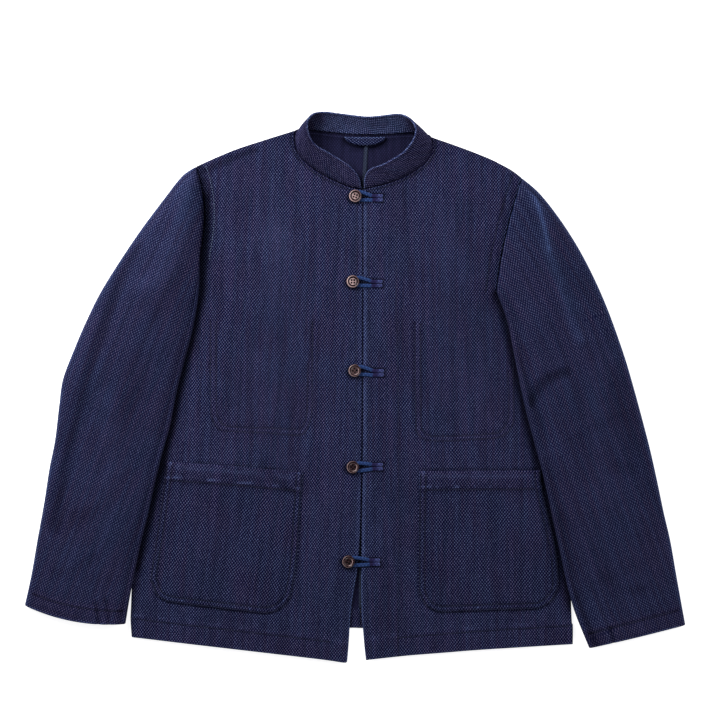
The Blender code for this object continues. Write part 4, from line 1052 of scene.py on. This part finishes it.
for name, table in SLEEVES.items():
    table = np.array(table)
    last, hand = len(table) - 1, np.sign(table[0, 0])
    # The rings crowd at the armhole, where the sleeve swells, and at the cuff.
    cap = [0.0, 0.012, 0.035, 0.07, 0.11, 0.16, 0.22, 0.29, 0.37, 0.46]
    cuff = last - np.linspace(0.72, 0, 22)
    stations = np.concatenate([cap, np.arange(0.56, cuff[0] - 0.05, 0.095), cuff])
    sections = spline(table, stations)
    swell = np.sqrt(1 - (1 - np.minimum(stations / 1.3, 1)) ** 2)
    flat = np.stack([sleeve_section(*each) for each in zip(sections, stations / last, swell)])
    width = np.linalg.norm(sections[:, 2:4] - sections[:, :2], axis=1)
    plan = np.stack([section_line(s, ring[:, 0] / w) for s, ring, w in zip(sections, flat, width)])
    on_top = slice(FOLD_POINTS, FOLD_POINTS + TOP_POINTS)
    top_plan, cuff_line = plan[:, on_top].reshape(-1, 2), plan[-1, on_top]
    from_cuff = distance(top_plan, [cuff_line])
    # The cuff is stitched along the ring that lies nearest to 2 mm inside its fold.
    sewn_ring = np.abs(distance(plan[:, MIDDLE], [cuff_line]) - CUFF_FOLD + 2).argmin()
    cuff_row = plan[sewn_ring, on_top]
    relief = creased(top_plan, SLEEVE_CREASES)
    relief = relief + 0.5 * uneven(top_plan, 60, 41) + 0.16 * uneven(top_plan, 17, 42)
    relief += CUFF_PROUD * folded(from_cuff, CUFF_FOLD) - stitched(top_plan, [cuff_row])
    calm = swell[:, None] * np.sin(math.pi * TOP_SHARE) ** 0.4
    flat[:, on_top, 1] += relief.reshape(calm.shape) * calm
    way = np.roll(flat, -1, axis=1) - np.roll(flat, 1, axis=1)
    way /= np.linalg.norm(way, axis=2, keepdims=True)
    inward = np.stack([way[..., 1], -way[..., 0]], axis=2)
    back_from_cuff = lengths(plan[:, MIDDLE])
    back_from_cuff = back_from_cuff[-1] - back_from_cuff
    wall = flat + inward * (CLOTH + 0.6 * folded(back_from_cuff, CUFF_FOLD))[:, None, None]
    inner_plan = np.stack([section_line(s, ring[:, 0] / w) for s, ring, w in zip(sections, wall, width)])
    outer = np.concatenate([plan, flat[..., 1:]], axis=2)
    inner = np.concatenate([inner_plan, wall[..., 1:]], axis=2)
    lips = []
    for end, step in ((-1, -2), (0, 1)):
        beyond = outer[end] - outer[step]
        beyond /= np.linalg.norm(beyond, axis=1, keepdims=True)
        lips.append(((outer[end] + inner[end]) / 2 + beyond * 0.7)[None])
    rings = np.concatenate([outer, lips[0], inner[::-1], lips[1]])

    middle_line = smooth_edge(SLEEVE_GRAIN[name], step=20.0)
    spot = ribbon(plan.reshape(-1, 2), middle_line).reshape(*plan.shape)
    around = np.stack([lengths(closed(ring)) for ring in flat])
    first_top, last_top = FOLD_POINTS, FOLD_POINTS + TOP_POINTS - 1
    weft, warp = [np.concatenate([spot[..., k], spot[:, :1, k]], axis=1) for k in (0, 1)]
    for edge, beyond in ((first_top, slice(0, first_top)), (last_top, slice(last_top + 1, None))):
        weft[:, beyond] = weft[:, [edge]] - hand * (around[:, beyond] - around[:, [edge]])
    grain = np.stack([weft, warp], axis=2) / SLEEVE_COARSER
    grain = np.concatenate([grain, grain[-1:], grain[::-1], grain[:1]])

    # How worn each point is, and how much painted highlight and painted shade it carries, by how far it
    # is across its ring, from the inner fold and down the sleeve
    upper = np.zeros(flat.shape[:2])
    upper[:, on_top] = 1
    all_plan, upper, across = plan.reshape(-1, 2), upper.ravel(), flat[..., 0].ravel()
    down, wide = [np.repeat(values, flat.shape[1]) for values in (stations, width)]
    from_fold, from_cuff_line = wide - across, distance(all_plan, [cuff_line])
    # Along its outer fold the sleeve is paler and bluer, partly rubbed and partly a painted highlight where
    # the fold faces the light.
    silhouette = ease(1 - across / 6.0)
    fade = 0.5 * near(from_cuff_line, 2.5) - 0.9 * near(distance(all_plan, [cuff_row]), 2.2) * upper
    fade += crease_shade_and_wear(creased(all_plan, SLEEVE_CREASES)) * upper
    # Towards the body the sleeve turns from the light: at once on the right, lower down on the left.
    shade, reach = (0.6, 11 + 15 * ease(down / 4)) if hand < 0 else (0.5 * ease((down - 1) / 3), 26.0)
    fade += 0.3 * silhouette - shade * ease(1 - from_fold / reach) * upper
    # Beside the right armhole it sinks into the seam, and is painted dark there as shade.
    fade -= 0.7 * (hand < 0) * near(down, 0.4) * ease((across / wide - 0.3) / 0.2) * upper
    # At the left armhole the sleeve is painted lighter, a painted highlight that lifts the shade at the
    # seam's step; further down it pales a little towards the cuff.
    fade += 0.25 * (hand > 0) * near(down, 0.12) * upper + 0.03 * ease(down / last)
    # The right sleeve folds in deep shade under the arm.
    fade -= 0.9 * (hand < 0) * ease(1.3 - from_fold / 8) * ease(1.4 - abs(down - 2) / 1.6) * upper
    lean = uneven(all_plan, 52, 24)
    for line, worn, reach in FADED:
        band = near(distance(all_plan, [smooth_edge(line)]), reach) * upper
        fade += worn * band
        lean += 2.5 * band
    lean -= 1.3 * folded(from_cuff_line, CUFF_FOLD + 4)
    lean += 0.8 * silhouette
    both = [values.reshape(flat.shape[:2]) for values in (fade, lean)]
    fade, lean = [np.concatenate([v, v[-1:], v[::-1], v[:1]]).ravel() for v in both]
    inside = np.where(back_from_cuff[::-1] < CUFF_FOLD, 0, 1)
    inside = np.concatenate([np.zeros(len(flat) + 1), inside, [0]])
    piece = loft(
        name + "_cloth", rings, grain, [sleeve_cotton, wrong_side], strip_finish=inside, joined_up=True,
        fade=fade, tone=lean,
    )
    dress(piece, "sashiko_cloth", name)
    girth = 2 * width.max() + 10
    top_heights = flat[:, on_top, 1].ravel()
    cuff_zone = from_cuff < CUFF_FOLD + 8

    def cuff_height(points, plan=top_plan[cuff_zone], heights=top_heights[cuff_zone]):
        """The height of the sleeve's top at the point nearest to each."""
        gap = ((points[:, None] - plan[None]) ** 2).sum(axis=2)
        return heights[gap.argmin(axis=1)]

    sew(name + "_stitches", [smooth_edge(cuff_row[3:-3])], cuff_height, thread)

# The collar. A stand band of two layers of cloth with a stay between them, sewn round the neck and
# left open in a V at the front. Its upper edge is rubbed pale all round.

COLLAR_WALL, COLLAR_BULGE = 2.6, 1.2
GROOVE = 5.0  # how far under the top edge the stitching pulls the outside in
COLLAR_TURN, COLLAR_FINER = 38, 0.92  # the band is cut askew, and its weave looks a little finer
# Sections from the right front's end round the back to the left front's: the seam, then the top edge
COLLAR = np.array([
    (9.0, 264.8, 6.8, 7.2, 273.8, 10.0),
    (2.8, 265.7, 6.8, 2.8, 283.8, 12.5),
    (-7.9, 268.2, 6.8, -7.2, 294.3, 14.5),
    (-22.6, 274.3, 6.7, -21.9, 304.2, 16.0),
    (-40.0, 283.0, 6.5, -37.2, 313.3, 18.0),
    (-56.9, 294.3, 6.2, -50.0, 320.3, 20.0),
    (-68.9, 305.3, 5.8, -57.7, 329.1, 23.0),
    (-75.8, 315.0, 5.4, -61.4, 338.7, 26.0),
    (-79.0, 327.1, 5.0, -62.7, 345.8, 28.0),
    (-77.8, 337.8, 4.5, -61.1, 354.7, 29.0),
    (-68.2, 343.6, 4.0, -54.3, 362.5, 27.0),
    (-53.5, 343.2, 3.6, -40.4, 365.4, 23.0),
    (-32.0, 340.5, 3.2, -22.5, 363.8, 20.0),
    (-10.0, 338.6, 3.2, -3.9, 361.6, 19.0),
    (13.5, 337.6, 3.2, 15.9, 359.5, 19.0),
    (33.5, 337.8, 3.2, 34.7, 360.8, 19.0),
    (56.3, 339.1, 3.2, 54.6, 363.0, 20.0),
    (72.3, 339.9, 3.6, 65.2, 361.1, 23.0),
    (88.4, 339.0, 4.0, 73.8, 355.0, 27.0),
    (99.8, 332.5, 4.5, 78.7, 347.5, 29.0),
    (102.4, 322.8, 5.0, 80.2, 339.2, 28.0),
    (100.0, 312.4, 5.4, 76.4, 327.4, 26.0),
    (92.3, 301.0, 5.8, 65.9, 313.6, 23.0),
    (79.4, 290.5, 6.2, 52.0, 304.2, 20.0),
    (60.8, 280.0, 6.6, 35.4, 295.6, 17.5),
    (41.5, 272.4, 6.8, 22.8, 291.6, 15.0),
    (25.5, 268.1, 6.8, 15.4, 285.5, 12.5),
    (11.9, 265.0, 6.8, 12.1, 274.5, 10.0),
])
bands = spline(COLLAR, np.linspace(0, len(COLLAR) - 1, 9 * (len(COLLAR) - 1) + 1))
seam, crest = bands[:, :3], bands[:, 3:]
along = np.gradient((seam + crest) / 2, axis=0)
outward = np.cross(crest - seam, along)
outward /= np.linalg.norm(outward, axis=1, keepdims=True)
away = (seam + crest) / 2 - [13.0, 310.0, 10.0]
outward *= np.where((outward * away).sum(axis=1, keepdims=True) < 0, -1, 1)
tall = np.linalg.norm(crest - seam, axis=1)
band_length = lengths((seam + crest) / 2)
ends_gap = np.minimum(band_length, band_length[-1] - band_length)
end_share = rounded(ends_gap, radius=1.4, least=0.35)
near_end = np.array([0.0, 0.15, 0.45, 0.9, 1.4])
rings, grain, fade = [], [], []
for base, top, out, reach, from_end, thin, far in zip(
    seam, crest, outward, tall, ends_gap, end_share, band_length,
):
    rise = np.concatenate([near_end, np.linspace(1.4, reach - 1.4, 22)[1:-1], reach - near_end[::-1]])
    up, from_top = rise / reach, reach - rise
    half = COLLAR_WALL / 2 * rounded(np.minimum(rise, from_top), radius=1.4, least=0.0) * thin
    half = half + 0.15 * near(from_top, 1.5, at=1.2) - 0.35 * np.exp(-(((from_top - GROOVE) / 0.9) ** 2))
    half[[0, -1]] = 0
    spine = base + (top - base) * up[:, None] + out * (COLLAR_BULGE * 4 * up * (1 - up))[:, None]
    ripple = 0.2 * math.sin(far / 9.0) * np.sin(math.pi * up)
    front_side = spine + out * (half + ripple)[:, None]
    back_side = spine - out * (half - ripple)[:, None]
    rings.append(np.concatenate([front_side, back_side[-2:0:-1]]))
    tall_way = np.concatenate([rise, 2 * reach - rise[-2::-1]])
    grain.append(np.stack([np.full(len(tall_way), far), tall_way], axis=1))
    # The top edge and the ends of the band are rubbed pale. Outside, painted shade darkens a line just
    # above the seam and the stitched groove, and the band is a little darker towards the wearer's right.
    worn = 0.75 * ease(1 - from_top / 1.6)
    outside = worn - 0.45 * np.exp(-(((rise - 2.8) / 0.8) ** 2)) + 0.45 * near(from_end, 6)
    outside = outside - 0.4 * np.exp(-(((from_top - GROOVE) / 1.1) ** 2)) - 0.1 * ease((13 - base[0]) / 40)
    # Inside, the back of the band is painted lighter, a painted highlight where light falls on it, with a
    # line of painted shade at its foot; it is darker towards its ends.
    inside = worn + 0.35 * ease((base[1] - 325) / 12) * 1.1 - 0.2 * near(rise, 2.5)
    inside = inside - 0.5 * ease((abs(base[0] - 11) - 52) / 25)
    fade.append(np.concatenate([outside, inside[-2:0:-1]]))
fade = np.array(fade).ravel()
rings = np.array(rings)
piece = loft(
    "collar_band", rings, askew(np.array(grain), COLLAR_TURN, COLLAR_FINER), [sashiko_cotton], fade=fade,
    tone=uneven(rings.reshape(-1, 3)[:, :2], 30, 26) + 0.8 * np.maximum(fade, 0) - 1.1,
)
dress(piece, "sashiko_cloth", "collar")

# The hanging loop. A short folded strip of the cloth, caught in the collar seam at its two ends. It
# droops a little in the middle.

LOOP_TOP = [(-14.0, 334.0), (-2.0, 333.4), (13.5, 333.0), (29.0, 333.4), (41.0, 334.0)]
LOOP_DROOP = [
    (41.0, 334.0), (37.5, 328.5), (27.5, 323.8), (13.5, 322.0), (-0.5, 323.8), (-10.5, 328.5),
    (-14.0, 334.0),
]
outline = joined(smooth_edge(LOOP_TOP, step=1.5), smooth_edge(LOOP_DROOP, step=1.5))
plan, faces = fill(outline, step=2.0)
rim, half_strip = distance(plan, [closed(outline)]), 1.1
under = CLOTH + 1.5 + 2.0 * np.cos(np.clip((plan[:, 0] - 13.5) / 27.5, -1, 1) * math.pi / 2)
middle, half = under + half_strip, half_strip * rounded(rim, radius=2.0, least=0.15)
piece = make_layer(
    "hanger_loop_strip", plan, faces, middle + half, middle - half, plan[:, ::-1] * [1, -1],
    [sashiko_cotton], fade=0.6 * near(rim, 1.8) * (plan[:, 1] > 329), tone=np.full(len(plan), 1.6),
)
dress(piece, "sashiko_cloth", "hanger_loop")

# The buttons. Five turned four-hole buttons of brown urea resin, polished, with a raised rim round
# a shallow dish. Each stands on a wound thread shank, which leaves room for its loop.

BUTTON_RADIUS, BUTTON_LIFT = 8.25, 3.4
HOLE_RADIUS, HOLE_OFFSET, HOLE_DEPTH = 1.3, 2.5, 1.9
# How far each button is turned, in degrees, and how pale the resin of its dish and of its rim is
BUTTON_TURNS = (20, 0, 38, 45, 22)
DISH_PALE, RIM_PALE = (0.68, 0.82, 0.1, 0.0, -0.1), (0.48, 0.54, 0.28, 0.14, 0.12)
FACE_PROFILE = [
    (0.0, 2.0), (3.6, 2.05), (4.5, 2.2), (4.9, 1.9), (5.4, 1.7), (6.1, 2.2), (6.7, 3.2), (7.5, 3.25),
    (8.0, 2.75), (8.25, 2.1),
]
UNDER_PROFILE = [(0.0, 0.0), (6.6, 0.0), (7.6, 0.5), (8.1, 1.1), (8.25, 1.5)]

# Urea resin, cast in a marbled rod and turned: brown with paler veins, glossy, its rim polished pale.
# The same pale colour also carries painted highlights and a painted reflection, and below zero the
# value paints shade, darkest in the holes.
resin, tree, shader = new_material("urea resin, turned and polished")
grain = add(tree, "UVMap", {"uv_map": "grain"}, {}, "UV")
vein = add(tree, "Mapping", {}, {"Vector": grain, "Scale": (1 / 9, 1 / 3, 1)})
vein = {"Vector": vein, "Scale": 1.0, "Detail": 4.0, "Distortion": 0.8}
vein = add(tree, "TexNoise", {}, vein)
resin_paleness_and_light = add(tree, "Attribute", {"attribute_name": "fade"}, {}, "Fac")
colour = {0: vein, 6: linear("#1C0A0E"), 7: linear("#3A2027")}
colour = add(tree, "Mix", {"data_type": "RGBA"}, colour, 2)
colour = {0: resin_paleness_and_light, 6: colour, 7: linear("#D2B2B1")}
colour = add(tree, "Mix", {"data_type": "RGBA"}, colour, 2)
# Below zero the value gives painted shade, nearly black in the holes.
deep = {"Value": resin_paleness_and_light, "From Min": -1.0, "From Max": 0.0, "To Min": 0.03}
deep = add(tree, "MapRange", {}, deep)
colour = add(tree, "VectorMath", {"operation": "SCALE"}, {0: colour, "Scale": deep})
connect(tree, shader, {"Base Color": colour, "Roughness": 0.2, "IOR": 1.54, "Specular IOR Level": 0.3})

holes = circle(HOLE_OFFSET, 4) @ (np.array([[1, 1], [-1, 1]]) / math.sqrt(2))
groups = [circle(r, 72) for r in (8.12, 7.9, 7.6, 7.2, 6.8, 6.4, 6.0, 5.65, 5.3, 5.1, 4.9, 4.7, 4.5)]
groups += [circle(r, 48) for r in (4.1, 3.6, 3.1)] + [circle(0.45, 8), np.zeros((1, 2))]
groups += [circle(HOLE_RADIUS + d, 18, hole) for hole in holes for d in (0.1, 0.0, -0.12)]
button_plan, button_faces = triangles(circle(BUTTON_RADIUS, 72), *groups, holes)
radius = np.linalg.norm(button_plan, axis=1)
hole_gap = np.min([np.linalg.norm(button_plan - hole, axis=1) for hole in holes], axis=0)
in_hole = hole_gap < HOLE_RADIUS - 0.05
button_top = np.interp(radius, *np.array(FACE_PROFILE).T) - np.where(in_hole, HOLE_DEPTH, 0.0)
button_under = np.interp(radius, *np.array(UNDER_PROFILE).T)
SHANK_RADIUS, SHANK_SIDES = 1.9, 20
shank_turns = np.linspace(0, 1, 14)
for number, (centre, _) in enumerate(FASTENINGS, start=1):
    dish_pale, rim_pale, turned = [row[number - 1] for row in (DISH_PALE, RIM_PALE, BUTTON_TURNS)]
    ground = plain_front(np.array([centre]))[0]
    base = ground + BUTTON_LIFT
    placed = askew(button_plan, -turned)
    toward_left, toward_right = placed @ [-0.9, -0.4] / 8, placed @ [0.9, -0.5] / 8
    dark_dish = dish_pale < 0.4
    # The rim is pale resin, painted paler towards the light as a highlight, with a painted highlight ring
    # on its top; a ring of painted shade lies on the wall by the dish, and the pale dishes are painted
    # brighter towards the light.
    pale = rim_pale * ease((radius - 6.6) / 0.4) * (0.75 + 0.5 * toward_left)
    pale += 0.3 * near(radius, 0.5, at=7.7) * (0.5 + toward_left)
    pale -= 0.85 * near(radius, 0.9, at=6.3 if dark_dish else 5.7)
    pale += dish_pale * ease((4.8 - radius) / 0.4) * (0.8 + 0.6 * toward_left)
    # A painted reflection: the wall between dish and rim is painted brightest where it faces the light.
    pale += dark_dish * near(radius, 0.7, at=5.3) * (0.2 + ease(toward_right * 2.2 - 0.2))
    # The holes are painted nearly black, as shade.
    pale -= 1.6 * ease((HOLE_RADIUS + 0.1 - hole_gap) / 0.2)
    piece = make_layer(
        f"button_{number}_resin", placed + centre, button_faces, button_top + base, button_under + base,
        button_plan + [number * 31.0, 0.0], [resin], fade=pale,
    )
    dress(piece, "button", f"button_{number}")
    rings = []
    for k, up in enumerate(shank_turns):
        ring = circle(SHANK_RADIUS + 0.12 * (k % 2), SHANK_SIDES, centre)
        height = ground + 0.4 + up * (BUTTON_LIFT - 0.5)
        rings.append(np.column_stack([ring, np.full(SHANK_SIDES, height)]))
    grain = np.stack(np.meshgrid(np.arange(SHANK_SIDES + 1) * 0.6, shank_turns * 3.0), axis=-1)
    piece = loft(f"button_{number}_shank", np.stack(rings), grain, [thread])
    dress(piece, "button")

# The button loops. Each is a narrow turned strip of thin cloth, doubled back from a flat tab that is
# stitched to the left front, round the button's shank. They have faded to a brighter blue.

LOOP_WIDTH, LOOP_HEIGHT, LOOP_SIDES = 4.9, 2.4, 20
TAB_LENGTH, TAB_STITCH = 15, 12  # from a loop's end
loop_cloth = cotton(
    "cotton strip, faded indigo", ground="#24345E", blue="#4667A0", purple="#3E4882",
    worn="#7C98CC", float_height=0.1, floats=0.5,
)
# The tab has kept more dye than the arms, and has gone reddish under its stitching.
tab_cloth = cotton(
    "cotton strip, still dark at its tab", ground="#26244A", blue="#46528C", purple="#3E3358",
    worn="#7688C0", float_height=0.1, floats=0.5,
)
for number, (centre, end) in enumerate(FASTENINGS, start=1):
    half_gap, shank_turn = 2.7, 4.6
    arm = [
        (end[0], end[1], half_gap), (end[0] - 8, end[1], half_gap), (end[0] - 14, end[1], half_gap + 0.2),
        (end[0] - 21, (end[1] + centre[1]) / 2, 4.0), (centre[0] + 9, centre[1], 5.1),
        (centre[0] + 3, centre[1], shank_turn),
    ]
    turn = [
        (centre[0] + shank_turn * math.cos(a), centre[1] + shank_turn * math.sin(a))
        for a in np.linspace(math.radians(100), math.radians(260), 6)
    ]
    upper, lower = [(x, y + gap) for x, y, gap in arm], [(x, y - gap) for x, y, gap in arm[::-1]]
    line = smooth_edge(upper + turn + lower, step=1.0)
    path = np.column_stack([line, plain_front(line) + 0.25 + LOOP_HEIGHT / 2])
    far = lengths(line)
    from_ends = np.minimum(far, far[-1] - far)
    way = np.gradient(line, axis=0)
    way /= np.linalg.norm(way, axis=1, keepdims=True)
    aside = np.column_stack([-way[:, 1], way[:, 0], np.zeros(len(way))])
    angle = np.linspace(0, 2 * math.pi, LOOP_SIDES, endpoint=False)
    # The strip's section is flat, with full edges.
    wide, high = [
        np.sign(v) * np.abs(v) ** power for v, power in ((np.cos(angle), 0.6), (np.sin(angle), 0.8))
    ]
    taper = rounded(from_ends, radius=1.2, least=0.5)
    lumps = 1 + 0.05 * np.sin(far * 1.9)
    rings = path[:, None] + aside[:, None] * (wide * LOOP_WIDTH / 2)[None, :, None] * taper[:, None, None]
    rings[..., 2] += high[None] * LOOP_HEIGHT / 2 * (taper * lumps)[:, None]
    girth = 2 * (LOOP_WIDTH + LOOP_HEIGHT) * 0.85
    grain = np.stack(np.meshgrid(np.linspace(0, girth, LOOP_SIDES + 1), far), axis=-1)
    fade = 0.6 * near(from_ends, 2.2) + 0.3 * ease((8 - from_ends) / 3)
    fade -= 0.35 * near(from_ends, 4, at=TAB_STITCH)
    lean = 2.5 - 6.0 * near(from_ends, 5, at=TAB_STITCH)
    piece = loft(
        f"loop_{number}_strip", rings, grain, [loop_cloth, tab_cloth],
        strip_finish=from_ends[:-1] < TAB_LENGTH, fade=np.repeat(fade, LOOP_SIDES),
        tone=np.repeat(lean, LOOP_SIDES),
    )
    dress(piece, "loop_cord", f"loop_{number}")

# The studio. A white floor that is lit past white, with broad soft light from both sides, brighter
# from the wearer's right, as for a cut-out picture; the camera looks straight down.

CAMERA_HEIGHT, CAMERA_AIM = 2.68, (0.0068, 0.0355)
floor_mesh = bpy.data.meshes.new("floor")
reach = 3.0
corners = [(-reach, -reach, 0), (reach, -reach, 0), (reach, reach, 0), (-reach, reach, 0)]
floor_mesh.from_pydata(corners, [], [(0, 1, 2, 3)])
floor = put("floor", floor_mesh)
floor.location.z = -0.0005
# Matt white paper that glows a little, so that it stays white in the shade
paper, tree, shader = new_material("white paper")
connect(tree, shader, {
    "Base Color": linear("#F4F4F4"), "Roughness": 0.9, "Emission Color": linear("#FFFFFF"),
    "Emission Strength": 0.8,
})
floor_mesh.materials.append(paper)

world = bpy.data.worlds.new("studio")
world.use_nodes = True
background = world.node_tree.nodes["Background"]
connect(world.node_tree, background, {"Color": linear("#FFFFFF"), "Strength": 0.25})
bpy.context.scene.world = world
for name, place, power, size in (
    ("softbox_left", (-0.95, 0.97, 0.84), 29.0, 0.9), ("softbox_right", (1.87, 0.88, 1.41), 20.5, 0.9),
):
    light = bpy.data.lights.new(name, "AREA")
    light.energy, light.size = power, size
    softbox = put(name, light)
    softbox.location = place
    softbox.rotation_euler = (-Vector(place)).to_track_quat("-Z", "Y").to_euler()

camera_data = bpy.data.cameras.new("camera")
camera_data.lens, camera_data.sensor_width = 100.0, 36.0
camera = put("camera", camera_data)
camera.location = (*CAMERA_AIM, CAMERA_HEIGHT)
bpy.context.scene.camera = camera
bpy.context.scene.view_settings.view_transform = "Standard"
